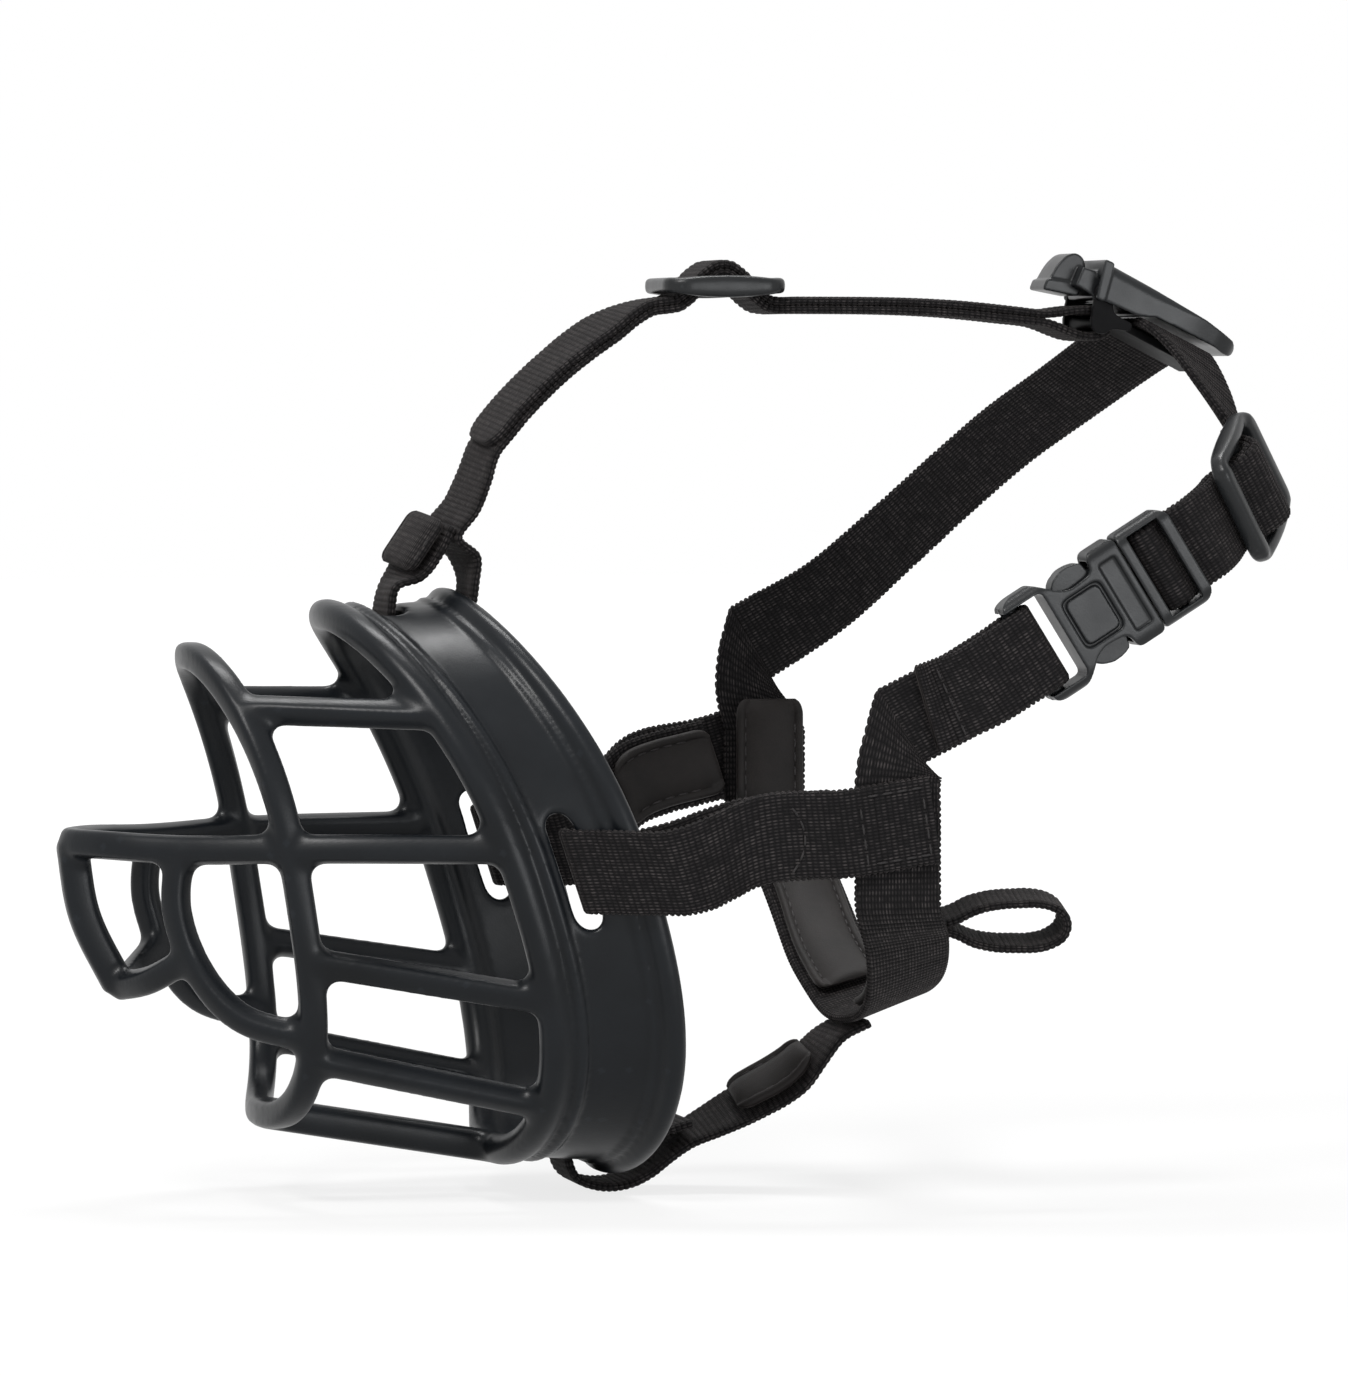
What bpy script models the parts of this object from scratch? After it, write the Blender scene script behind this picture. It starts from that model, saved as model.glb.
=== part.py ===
"""Basket muzzle for a dog: a moulded basket held on by a webbing harness with a side-release buckle.

Metres. The nose points to -X, the animal's left side is -Y, and +Z is up.
The origin is the centre of the basket's rear opening.
"""

import math
from collections import namedtuple

import bmesh
import bpy
from mathutils import Matrix, Vector

MM = 0.001

# Fits
CLEARANCE = 0.3 * MM
SIDE_CLEARANCE = 0.6 * MM

# Webbing and lining
WEB_WIDTH = 16 * MM
WEB_THICKNESS = 1.6 * MM
PAD_INSET = 1.5 * MM
PAD_WIDTH = WEB_WIDTH - 2 * PAD_INSET
PAD_THICKNESS = 2.6 * MM
PAD_START_X = 24 * MM
TAB_LENGTH = 11 * MM
TAB_THICKNESS = 2.4 * MM

# Basket moulding: the front rim and the middle hoop are smaller than the rear rim by an inset and a drop
REAR_HALF_WIDTH = 41 * MM
REAR_HALF_HEIGHT = 50 * MM
REAR_LEAN = 0.281
REAR_BOW = 14 * MM
BAND_LENGTH = 20.5 * MM
FRONT_INSET = 2.5 * MM
FRONT_DROP = 1.5 * MM
FRONT_LEAN = 0.313
FRONT_BOW = 13 * MM
HOOP_X = -54.2 * MM
HOOP_INSET = 13 * MM
HOOP_DROP = 8.7 * MM
HOOP_LEAN = 0.156
HOOP_BOW = 8 * MM
NOSE_X = -82.5 * MM
NOSE_Z = 8 * MM
WALL_THICKNESS = 2.2 * MM
FRONT_BEAD_RADIUS = 2.9 * MM
FLANGE_RADIUS = 2.1 * MM
FLANGE_RISE = 1.3 * MM
BAR_RADIUS = 2.6 * MM
FRONT_BAR_RADIUS = 3 * MM
HOOP_RADIUS = 2.7 * MM
KEEL_RADIUS = 3.3 * MM
NOSE_STEP = 7.5 * MM
SLOT_WIDTH = 5 * MM
SLOT_SPARE = 6 * MM
SLOT_PLACE = 0.46
BOTTOM_SLOT_PLACE = 0.62
SLOT_STEPS = 6
SIDE_SLOT_Z = 4 * MM

# Harness junctions behind the cheeks
JUNCTION_SPREAD = 9 * MM
JUNCTION_X = 57.5 * MM
JUNCTION_Y = REAR_HALF_WIDTH + JUNCTION_SPREAD
JUNCTION_LIFT = 2 * MM
NEAR_JUNCTION_Z = 12.3 * MM
FAR_JUNCTION_Z = 22.5 * MM

# Sliders
SLIDER_LENGTH = 22 * MM
SLIDER_BAR_RADIUS = 1.3 * MM
SLIDER_CORNER = 2.2 * MM

# Crown clip: the neck strap crosses it between the heel and the lip
CLIP_EAR = 1.4 * MM
CLIP_WIDTH = WEB_WIDTH + 2 * (SIDE_CLEARANCE + CLIP_EAR)
CLIP_TILT = math.radians(27)
CLIP_HEEL = 8 * MM
CLIP_LIP = 3 * MM
CLIP_TOP = 4.3 * MM
CLIP_JAW_LENGTH = 4 * MM
CLIP_PLATE_START = 5.6 * MM
CLIP_PLATE_INSET = 3 * MM
CLIP_PLATE_THICKNESS = 1.5 * MM
CLIP_PIN_RADIUS = 1 * MM
CLIP_BAR_RADIUS = 1.2 * MM
CROWN_X = CLIP_HEEL + WEB_WIDTH / 2
CROWN_Z = -1.7 * MM

# Side-release buckle
BUCKLE_THICKNESS = 7 * MM
BUCKLE_FACE = 1.2 * MM
BUCKLE_WALL = 1.5 * MM
BUCKLE_RAIL = 1.7 * MM
BUCKLE_WAIST = 3.8 * MM
BUCKLE_MOUTH = WEB_WIDTH / 2 + CLEARANCE + BUCKLE_WALL
SOCKET_LENGTH = 24 * MM
PLUG_LENGTH = 11 * MM
PLUG_WALL = 2.2 * MM
PLUG_END_BAR = 2.1 * MM
PLUG_BAR_X = 5.7 * MM
PLUG_BAR_Z = -0.3 * MM
PLUG_LIE = -0.1 * MM
PRONG_ROOT_X = -1.5 * MM
PRONG_ROOT_RADIUS = 1.1 * MM
PRONG_ROOT_Y = BUCKLE_MOUTH - 4.2 * MM
BUCKLE_BAR_RADIUS = 1.6 * MM
PLUG_BAR_RADIUS = 1 * MM

# Collar loop
LOOP_REACH = 22.5 * MM
LOOP_HEIGHT = 6 * MM
LOOP_ROOT_Z = -8.5 * MM
LOOP_ROOT_SPARE = 0.2 * MM
LOOP_STEP = 3 * MM

LAYER = WEB_THICKNESS + CLEARANCE
STACK = WEB_THICKNESS + LAYER
PAD_LIE = (WEB_THICKNESS + PAD_THICKNESS) / 2 + CLEARANCE
JOIN = 0.1 * MM
SPARE = 1 * MM
RUN_STEP = 5 * MM
RING_STEPS = 44
PALETTE = {
    "moulded_rubber": ((0.021, 0.024, 0.027), 0.42),
    "webbing": ((0.014, 0.012, 0.013), 0.85),
    "lining": ((0.010, 0.010, 0.011), 0.7),
    "buckle_plastic": ((0.024, 0.026, 0.027), 0.38),
    "steel": ((0.35, 0.35, 0.36), 0.35),
}

Hoop = namedtuple("Hoop", "x half_width half_height lean bow upper lower")
Station = namedtuple("Station", "centre half")


def mm(x, y, z):
    return Vector((x, y, z)) * MM


def spread(x, share, z):
    """A place on the harness, its y a share of the junctions' distance from the middle."""
    return Vector((x * MM, share * JUNCTION_Y, z * MM))


def clear_scene():
    for obj in list(bpy.data.objects):
        bpy.data.objects.remove(obj, do_unlink=True)
    for child in list(bpy.context.scene.collection.children):
        bpy.context.scene.collection.children.unlink(child)


def new_collection(name):
    made = bpy.data.collections.new(name)
    bpy.context.scene.collection.children.link(made)
    return made


def make_material(name):
    colour, roughness = PALETTE[name]
    material = bpy.data.materials.new(name)
    material.use_nodes = True
    shader = material.node_tree.nodes["Principled BSDF"]
    shader.inputs["Base Color"].default_value = (*colour, 1)
    shader.inputs["Roughness"].default_value = roughness
    shader.inputs["Metallic"].default_value = 1.0 if name == "steel" else 0.0
    return material


# Routes of stations

def hermite(a, b, slope_a, slope_b, t):
    return (
        a * (2 * t**3 - 3 * t**2 + 1)
        + slope_a * (t**3 - 2 * t**2 + t)
        + b * (3 * t**2 - 2 * t**3)
        + slope_b * (t**3 - t**2)
    )


def slopes(values, gaps):
    """Slope per metre at each value, weighted towards the shorter neighbour."""
    last = len(values) - 1
    found = []
    for i in range(last + 1):
        before = (values[i] - values[i - 1]) / gaps[i - 1] if i else None
        after = (values[i + 1] - values[i]) / gaps[i] if i < last else None
        if before is None or after is None:
            found.append(before or after)
        else:
            found.append((before * gaps[i] + after * gaps[i - 1]) / (gaps[i] + gaps[i - 1]))
    return found


def smooth_points(points, step):
    """Points along a smooth curve through these, about one step apart."""
    gaps = [(b - a).length for a, b in zip(points, points[1:])]
    rates = slopes(points, gaps)
    found = [points[0]]
    for i, gap in enumerate(gaps):
        count = max(1, round(gap / step))
        for k in range(1, count + 1):
            ends = (points[i], points[i + 1], rates[i] * gap, rates[i + 1] * gap)
            found.append(hermite(*ends, k / count))
    return found


def smooth(stations, step=RUN_STEP):
    """Stations along a smooth curve through these, with their width turning evenly."""
    centres = [s.centre for s in stations]
    gaps = [(b - a).length for a, b in zip(centres, centres[1:])]
    rates = slopes(centres, gaps)
    turns = slopes([s.half for s in stations], gaps)
    found = [stations[0]]
    for i, gap in enumerate(gaps):
        first, second = stations[i], stations[i + 1]
        count = max(1, round(gap / step))
        for k in range(1, count + 1):
            t = k / count
            centre = hermite(first.centre, second.centre, rates[i] * gap, rates[i + 1] * gap, t)
            half = hermite(first.half, second.half, turns[i] * gap, turns[i + 1] * gap, t)
            length = first.half.length * (1 - t) + second.half.length * t
            found.append(Station(centre, half.normalized() * length))
    return found


def place(centre, width_way, width=WEB_WIDTH):
    return Station(Vector(centre), Vector(width_way).normalized() * width / 2)


def run_normals(stations):
    last = len(stations) - 1
    found = []
    for i, station in enumerate(stations):
        ahead = stations[min(i + 1, last)].centre - stations[max(i - 1, 0)].centre
        found.append(ahead.cross(station.half).normalized())
    return found


def shifted(stations, distance):
    """The same run moved sideways off its own face."""
    normals = run_normals(stations)
    return [Station(s.centre + n * distance, s.half) for s, n in zip(stations, normals)]


def narrowed(stations, width):
    return [Station(s.centre, s.half.normalized() * width / 2) for s in stations]


def arc(centre, start, normal_start, angle_from, angle_to, width_way, count):
    """Stations round a bar: start and normal_start are the two radius vectors of the turn."""
    found = []
    for k in range(count + 1):
        angle = angle_from + (angle_to - angle_from) * k / count
        spot = centre + start * math.cos(angle) + normal_start * math.sin(angle)
        found.append(place(spot, width_way))
    return found


# Solids

def link(obj, collection):
    collection.objects.link(obj)
    return obj


def mesh_from(bm, name):
    mesh = bpy.data.meshes.new(name)
    bm.to_mesh(mesh)
    bm.free()
    return mesh


def ribbon_mesh(name, stations, across=1):
    """An open strip bent along its stations."""
    bm = bmesh.new()
    count = len(stations) - 1
    bmesh.ops.create_grid(bm, x_segments=count, y_segments=across, size=1)
    for vert in bm.verts:
        station = stations[round((vert.co.x + 1) / 2 * count)]
        vert.co = station.centre + station.half * vert.co.y
    bmesh.ops.recalc_face_normals(bm, faces=bm.faces)
    return mesh_from(bm, name)


def add_solidify(obj, thickness, offset=0.0):
    modifier = obj.modifiers.new("thickness", "SOLIDIFY")
    modifier.thickness = thickness
    modifier.offset = offset
    modifier.use_even_offset = True
    modifier.use_quality_normals = True


def add_boolean(obj, operation, other):
    modifier = obj.modifiers.new(operation.lower(), "BOOLEAN")
    modifier.operation = operation
    modifier.solver = "EXACT"
    if isinstance(other, bpy.types.Collection):
        modifier.operand_type = "COLLECTION"
        modifier.collection = other
    else:
        modifier.object = other


def hide_tool(obj):
    obj.hide_render = True
    obj.display_type = "WIRE"
    return obj


def tube(name, points, radius, cyclic=False, resolution=2):
    """A closed round bar along these points, as a mesh object."""
    curve = bpy.data.curves.new(name, "CURVE")
    curve.dimensions = "3D"
    curve.bevel_depth = radius
    curve.bevel_resolution = resolution
    curve.use_fill_caps = not cyclic
    spline = curve.splines.new("POLY")
    spline.points.add(len(points) - 1)
    for point, spot in zip(points, spline.points):
        spot.co = (*point, 1)
    spline.use_cyclic_u = cyclic
    guide = bpy.data.objects.new(name + "_guide", curve)
    bpy.context.scene.collection.objects.link(guide)
    bpy.context.view_layer.update()
    graph = bpy.context.evaluated_depsgraph_get()
    mesh = bpy.data.meshes.new_from_object(guide.evaluated_get(graph))
    bpy.data.objects.remove(guide)
    bpy.data.curves.remove(curve)
    bm = bmesh.new()
    bm.from_mesh(mesh)
    bmesh.ops.remove_doubles(bm, verts=bm.verts, dist=1e-6)
    bmesh.ops.recalc_face_normals(bm, faces=bm.faces)
    bm.to_mesh(mesh)
    bm.free()
    return bpy.data.objects.new(name, mesh)


def block(name, low, high, matrix):
    """A box between two corners, turned by a matrix."""
    bm = bmesh.new()
    bmesh.ops.create_cube(bm, size=1)
    low, high = Vector(low), Vector(high)
    size = high - low
    for vert in bm.verts:
        vert.co = (low + high) / 2 + vert.co * size
    bm.transform(matrix)
    return bpy.data.objects.new(name, mesh_from(bm, name))


def plate(name, outline, low, high, matrix):
    """An outline in its own x and y, raised from low to high, then turned by a matrix."""
    bm = bmesh.new()
    face = bm.faces.new([bm.verts.new((x, y, low)) for x, y in outline])
    grown = bmesh.ops.extrude_face_region(bm, geom=[face])
    top = [v for v in grown["geom"] if isinstance(v, bmesh.types.BMVert)]
    bmesh.ops.translate(bm, verts=top, vec=(0, 0, high - low))
    bmesh.ops.recalc_face_normals(bm, faces=bm.faces)
    bm.transform(matrix)
    return bpy.data.objects.new(name, mesh_from(bm, name))


class Builder:
    """Keeps the part's collections and materials, and puts each piece where it belongs."""

    def __init__(self):
        self.parts = new_collection("basket_muzzle")
        self.tools = new_collection("cutters")
        self.materials = {name: make_material(name) for name in PALETTE}

    def part(self, obj, material, pivot=None, angle=35):
        """Links a piece, with its origin moved onto its joint where it has one."""
        obj.data.materials.clear()
        obj.data.materials.append(self.materials[material])
        obj.data.shade_smooth()
        obj.data.set_sharp_from_angle(angle=math.radians(angle))
        if pivot is not None:
            obj.data.transform(Matrix.Translation(-pivot))
            obj.location = pivot
        return link(obj, self.parts)

    def tool(self, obj):
        return link(hide_tool(obj), self.tools)

    def group(self, name, objects):
        made = bpy.data.collections.new(name)
        self.tools.children.link(made)
        for obj in objects:
            link(hide_tool(obj), made)
        return made

    def strap(self, name, stations, across=1):
        obj = bpy.data.objects.new(name, ribbon_mesh(name, stations, across))
        add_solidify(obj, WEB_THICKNESS)
        return self.part(obj, "webbing")

    def pad(self, name, stations, width=PAD_WIDTH, thickness=PAD_THICKNESS, material="lining"):
        """A strip with a crowned face and drawn-in edges."""
        obj = bpy.data.objects.new(name, ribbon_mesh(name, narrowed(stations, width), across=2))
        add_solidify(obj, thickness)
        crown = obj.modifiers.new("crown", "SUBSURF")
        crown.levels = 1
        crown.render_levels = 1
        return self.part(obj, material)


# Basket

REAR_RIM = Hoop(0, REAR_HALF_WIDTH, REAR_HALF_HEIGHT, REAR_LEAN, REAR_BOW, 2.15, 2.6)
FRONT_HALF_WIDTH = REAR_HALF_WIDTH - FRONT_INSET
FRONT_HALF_HEIGHT = REAR_HALF_HEIGHT - FRONT_DROP
FRONT_RIM = Hoop(-BAND_LENGTH, FRONT_HALF_WIDTH, FRONT_HALF_HEIGHT, FRONT_LEAN, FRONT_BOW, 2.3, 2.6)
HOOP_HALF_WIDTH = REAR_HALF_WIDTH - HOOP_INSET
HOOP_HALF_HEIGHT = REAR_HALF_HEIGHT - HOOP_DROP
MIDDLE_HOOP = Hoop(HOOP_X, HOOP_HALF_WIDTH, HOOP_HALF_HEIGHT, HOOP_LEAN, HOOP_BOW, 2.4, 3.2)


def hoop_spot(hoop, y, z):
    """The hoop's leaning, bowed surface above this place in the width and height."""
    return Vector((hoop.x - hoop.lean * z + hoop.bow * (y / hoop.half_width) ** 2, y, z))


def hoop_point(hoop, angle):
    """A point on the hoop: 0 is the top, and the near side is at a quarter turn."""
    power = hoop.upper if math.cos(angle) >= 0 else hoop.lower
    across = math.copysign(abs(math.sin(angle)) ** (2 / power), math.sin(angle))
    up = math.copysign(abs(math.cos(angle)) ** (2 / power), math.cos(angle))
    return hoop_spot(hoop, -hoop.half_width * across, hoop.half_height * up)


def hoop_at_height(hoop, z, side):
    """The hoop's point at this height, on side -1 (near) or 1 (far)."""
    power = hoop.upper if z >= 0 else hoop.lower
    share = min(1.0, abs(z) / hoop.half_height)
    return hoop_spot(hoop, side * hoop.half_width * (1 - share**power) ** (1 / power), z)


def grown_hoop(hoop, growth):
    return hoop._replace(half_width=hoop.half_width + growth, half_height=hoop.half_height + growth)


def hoop_ring(hoop):
    return [hoop_point(hoop, 2 * math.pi * k / RING_STEPS) for k in range(RING_STEPS)]


def band_frame(share, side=None, z=0.0, top=0):
    """Place, rearward way, outward way and way along the rim on the band's wall."""
    def rim(hoop, nudge):
        if top:
            return hoop_point(hoop, nudge if top > 0 else math.pi + nudge)
        return hoop_at_height(hoop, z + nudge * hoop.half_height, side)

    small = 0.01
    spot = rim(FRONT_RIM, 0).lerp(rim(REAR_RIM, 0), share)
    rearward = (rim(REAR_RIM, 0) - rim(FRONT_RIM, 0)).normalized()
    along = rim(FRONT_RIM, small).lerp(rim(REAR_RIM, small), share)
    along = (along - rim(FRONT_RIM, -small).lerp(rim(REAR_RIM, -small), share)).normalized()
    outward = rearward.cross(along).normalized()
    if outward.dot(Vector((0, spot.y, spot.z))) < 0:
        outward.negate()
    return spot, rearward, outward, along


SLOTS = {
    "near": dict(share=SLOT_PLACE, side=-1, z=SIDE_SLOT_Z),
    "far": dict(share=SLOT_PLACE, side=1, z=SIDE_SLOT_Z),
    "top": dict(share=SLOT_PLACE, top=1),
    "bottom": dict(share=BOTTOM_SLOT_PLACE, top=-1),
}


def band_wall():
    bm = bmesh.new()
    bmesh.ops.create_circle(bm, segments=RING_STEPS, radius=1)
    rear = list(bm.verts)
    grown = bmesh.ops.extrude_edge_only(bm, edges=list(bm.edges))
    front = [v for v in grown["geom"] if isinstance(v, bmesh.types.BMVert)]
    for verts, hoop in ((rear, REAR_RIM), (front, FRONT_RIM)):
        for vert in verts:
            vert.co = hoop_point(hoop, math.atan2(vert.co.x, vert.co.y))
    bmesh.ops.recalc_face_normals(bm, faces=bm.faces)
    obj = bpy.data.objects.new("basket", mesh_from(bm, "basket"))
    add_solidify(obj, WALL_THICKNESS)
    return obj


def nose_bars():
    """The open cage in front of the middle hoop, with the near and far halves alike."""
    nose = Vector((NOSE_X, 0, NOSE_Z))
    chin = mm(-74, 0, -18)
    bars = []
    brow = [hoop_at_height(FRONT_RIM, NOSE_Z, -1), hoop_at_height(MIDDLE_HOOP, NOSE_Z, -1)]
    brow += [mm(-65.5, -17.5, 7.5), nose + mm(3.5, -7, 0)]
    brow = brow + [nose] + [Vector((p.x, -p.y, p.z)) for p in reversed(brow)]
    bars.append((smooth_points(brow, NOSE_STEP), BAR_RADIUS))
    bars.append((smooth_points([nose, mm(-80.3, 0, -5), chin], NOSE_STEP), FRONT_BAR_RADIUS))
    for side in (-1, 1):
        corner = mm(-63.8, 17.5 * side, -11.5)
        fang = [mm(-65.5, 17.5 * side, 7.5), mm(-66.5, 17.5 * side, -2), corner]
        fang += [mm(-56, 22 * side, -22), hoop_at_height(MIDDLE_HOOP, -26 * MM, side)]
        bars.append((smooth_points(fang, NOSE_STEP), BAR_RADIUS))
        bars.append(([chin, mm(-69.5, 10 * side, -16), corner], BAR_RADIUS))
    return bars


def side_bars():
    """Bars from the middle hoop back to the band, at these heights on each."""
    heights = ((32.5, 31.5), (-12, -19), (-29.5, -38.5))
    bars = []
    for side in (-1, 1):
        for fore, aft in heights:
            ends = [hoop_at_height(MIDDLE_HOOP, fore * MM, side), hoop_at_height(FRONT_RIM, aft * MM, side)]
            bars.append((ends, BAR_RADIUS))
    keel = [hoop_point(MIDDLE_HOOP, math.pi), hoop_point(FRONT_RIM, math.pi)]
    bars.append((keel, KEEL_RADIUS))
    return bars


def slot_cutter(name, where):
    spot, rearward, outward, along = band_frame(**where)
    if rearward.cross(along).dot(outward) < 0:
        along.negate()
    matrix = Matrix((rearward, along, outward)).transposed().to_4x4()
    matrix.translation = spot
    corner = SLOT_WIDTH / 2
    straight = (WEB_WIDTH + SLOT_SPARE) / 2 - corner
    outline = []
    for end in (1, -1):
        for k in range(SLOT_STEPS + 1):
            angle = math.pi * k / SLOT_STEPS
            outline.append((end * corner * math.cos(angle), end * (straight + corner * math.sin(angle))))
    depth = 3 * WALL_THICKNESS
    return plate(name, outline, -depth, depth, matrix)


def make_basket(builder):
    basket = band_wall()
    ribs = [
        tube("front_bead", hoop_ring(FRONT_RIM), FRONT_BEAD_RADIUS, cyclic=True),
        tube("flange", hoop_ring(grown_hoop(REAR_RIM, FLANGE_RISE)), FLANGE_RADIUS, cyclic=True),
        tube("middle_hoop", hoop_ring(MIDDLE_HOOP), HOOP_RADIUS, cyclic=True),
    ]
    for n, (points, radius) in enumerate(nose_bars() + side_bars()):
        ribs.append(tube(f"bar_{n}", points, radius))
    add_boolean(basket, "UNION", builder.group("basket_ribs", ribs))
    slots = [slot_cutter(f"{name}_slot", where) for name, where in SLOTS.items()]
    add_boolean(basket, "DIFFERENCE", builder.group("basket_slots", slots))
    builder.part(basket, "moulded_rubber")


# Webbing loops through the basket's slots

WEB_SAG = (WEB_WIDTH / 2) ** 2 / (2 * REAR_HALF_WIDTH)
SLOT_TURN = (WALL_THICKNESS + WEB_SAG + WEB_THICKNESS) / 2 + 2 * CLEARANCE
SLOT_EASE = 0.6 * MM
SLOT_RUN = 3 * MM
CHEEK_END_INSET = 1.8 * MM
INNER_LIE = WALL_THICKNESS / 2 + WEB_SAG + 2 * CLEARANCE + WEB_THICKNESS / 2
FLANGE_TOP = FLANGE_RISE + FLANGE_RADIUS
RIM_CLEAR = FLANGE_TOP + 2 * CLEARANCE + WEB_THICKNESS / 2


class SlotLoop:
    """Places on the band near one slot, in distances rearward and outward of it."""

    def __init__(self, name):
        self.spot, self.rearward, self.outward, self.width_way = band_frame(**SLOTS[name])
        if self.width_way.z + self.width_way.y < 0:
            self.width_way.negate()
        self.to_rim = (1 - SLOTS[name]["share"]) * BAND_LENGTH
        self.edge = SLOT_WIDTH / 2

    def at(self, rearward, outward):
        return self.spot + self.rearward * rearward + self.outward * outward

    def station(self, rearward, outward):
        return place(self.at(rearward, outward), self.width_way)

    def turn(self, angle_from, angle_to, count):
        """The bend round the slot's rear edge: 90 degrees is outside and 270 inside."""
        centre = self.at(self.edge + SLOT_EASE, -WEB_SAG / 2)
        return arc(
            centre, self.rearward * SLOT_TURN, self.outward * SLOT_TURN,
            math.radians(angle_from), math.radians(angle_to), self.width_way, count,
        )


# Cheek straps

def cheek_route(name, side, junction_z, middle):
    """From the junction forward outside, through the slot and back inside to a sewn end."""
    loop = SlotLoop(name)
    junction = Vector((JUNCTION_X, side * JUNCTION_Y, junction_z))
    out = Vector((0, side, 0))
    rise = math.atan2(junction_z - loop.spot.z, JUNCTION_X - loop.spot.x)
    back = Vector((math.cos(rise), 0, math.sin(rise)))
    upright = Vector((-math.sin(rise), 0, math.cos(rise)))
    end = WEB_WIDTH / 2 - CHEEK_END_INSET
    route = [place(junction + back * end + out * LAYER, upright)]
    route += [place(junction - back * WEB_WIDTH * 0.56 + out * LAYER, upright)]
    outer_middle = middle + out * LAYER
    route += smooth([
        place(outer_middle, upright),
        loop.station(loop.to_rim + 7 * MM, RIM_CLEAR + SLOT_EASE),
        loop.station(loop.to_rim, RIM_CLEAR),
        loop.station(loop.edge + SLOT_RUN, SLOT_TURN),
    ])
    route += loop.turn(105, 255, 6)
    inner = smooth([
        loop.station(loop.edge + SLOT_RUN, -INNER_LIE),
        loop.station(loop.to_rim + 4 * MM, -INNER_LIE),
        place(middle - out * LAYER, upright),
        place(junction - back * WEB_WIDTH * 0.69 - out * LAYER, upright),
    ])
    return route + inner, inner


def make_cheeks(builder):
    plans = (
        ("near", -1, NEAR_JUNCTION_Z, spread(30, -0.984, 9.2)),
        ("far", 1, FAR_JUNCTION_Z, spread(31, 0.956, 14.8)),
    )
    for name, side, junction_z, middle in plans:
        route, inner = cheek_route(name, side, junction_z, middle)
        builder.strap(f"{name}_cheek_strap", route)
        lining = [s for s in inner if s.centre.x > PAD_START_X]
        builder.pad(f"{name}_cheek_pad", shifted(lining, side * PAD_LIE))


# Throat and chin straps

def throat_route():
    near_top = Vector((JUNCTION_X, -JUNCTION_Y, NEAR_JUNCTION_Z + JUNCTION_LIFT))
    far_top = Vector((JUNCTION_X, JUNCTION_Y, FAR_JUNCTION_Z + JUNCTION_LIFT))
    drop = Vector((0, 0, WEB_WIDTH / 2 + 5 * MM))
    flat = (1, 0, 0)
    return smooth([
        place(near_top, flat),
        place(near_top - drop, flat),
        place(near_top - drop * 1.25, flat),
        place(spread(61, -0.86, -9), (0.98, 0.05, 0.15)),
        place(spread(64, -0.56, -19.5), (0.93, 0, 0.35)),
        place(spread(63, -0.18, -23), (0.94, 0, 0.3)),
        place(spread(61.5, 0.3, -16), (0.96, 0.1, 0.2)),
        place(spread(60.5, 0.72, -2.5), (0.97, 0.15, 0.1)),
        place(far_top - drop * 1.25, flat),
        place(far_top - drop, flat),
        place(far_top, flat),
    ])


def make_throat(builder):
    """The strap and its two linings, which step over the cheek straps' ends at the top."""
    route = throat_route()
    builder.strap("throat_strap", route, across=2)
    lowest = min(range(len(route)), key=lambda i: route[i].centre.z)
    inward = 1 if run_normals(route)[0].y > 0 else -1
    lined = shifted(route, inward * PAD_LIE)
    raised = shifted(route, inward * (PAD_LIE + LAYER))
    under = 4
    builder.pad("near_throat_pad", raised[:under] + lined[under:lowest - 1])
    builder.pad("far_throat_pad", lined[lowest + 2:-under] + raised[-under:])
    along = route[lowest + 1].centre - route[lowest - 1].centre
    return route[lowest], run_normals(route)[lowest], along


def chin_spot(x, y, rise):
    """A place under the jaw, its height above the bottom of the rear rim."""
    return mm(x, y, rise) - Vector((0, 0, REAR_HALF_HEIGHT))


def make_chin(builder, seat, normal, along):
    """From a sewn end inside the basket, out through the bottom slot and back under the throat strap."""
    loop = SlotLoop("bottom")
    if normal.z > 0:
        normal = -normal
    end = seat.centre + normal * LAYER
    forward = seat.half.normalized() * -1
    flat = (0, 1, 0)
    tilt = (0, 0.95, 0.3)
    inside = [
        place(chin_spot(30, 0, 5.6), flat),
        place(chin_spot(24, 0, 4), flat),
        loop.station(loop.to_rim + 3 * MM, -INNER_LIE),
        loop.station(loop.edge + SLOT_RUN, -INNER_LIE),
    ]
    outside = [
        loop.station(loop.edge - 0.4 * MM, SLOT_TURN + 1.2 * MM),
        loop.station(loop.edge + 4 * MM, 5.6 * MM),
        loop.station(loop.to_rim + 4 * MM, 5 * MM),
        place(chin_spot(30, 0, 2.5), (0, 1, 0.1)),
    ]
    sole = [
        place(chin_spot(40, -2, 8), tilt),
        place(chin_spot(50.5, -5.5, 14.8), tilt),
        place(end + forward * WEB_WIDTH * 0.55 - mm(0, 0, 1.2), along),
        place(end + forward * 3 * MM, along),
    ]
    builder.strap("chin_strap", smooth(inside) + loop.turn(250, 160, 3) + smooth(outside + sole))
    lining = [s for s in smooth(sole[:3]) if s.centre.x < end.x - WEB_WIDTH * 0.62]
    side = 1 if run_normals(lining)[0].z > 0 else -1
    builder.pad("chin_pad", shifted(lining, side * PAD_LIE))


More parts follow.
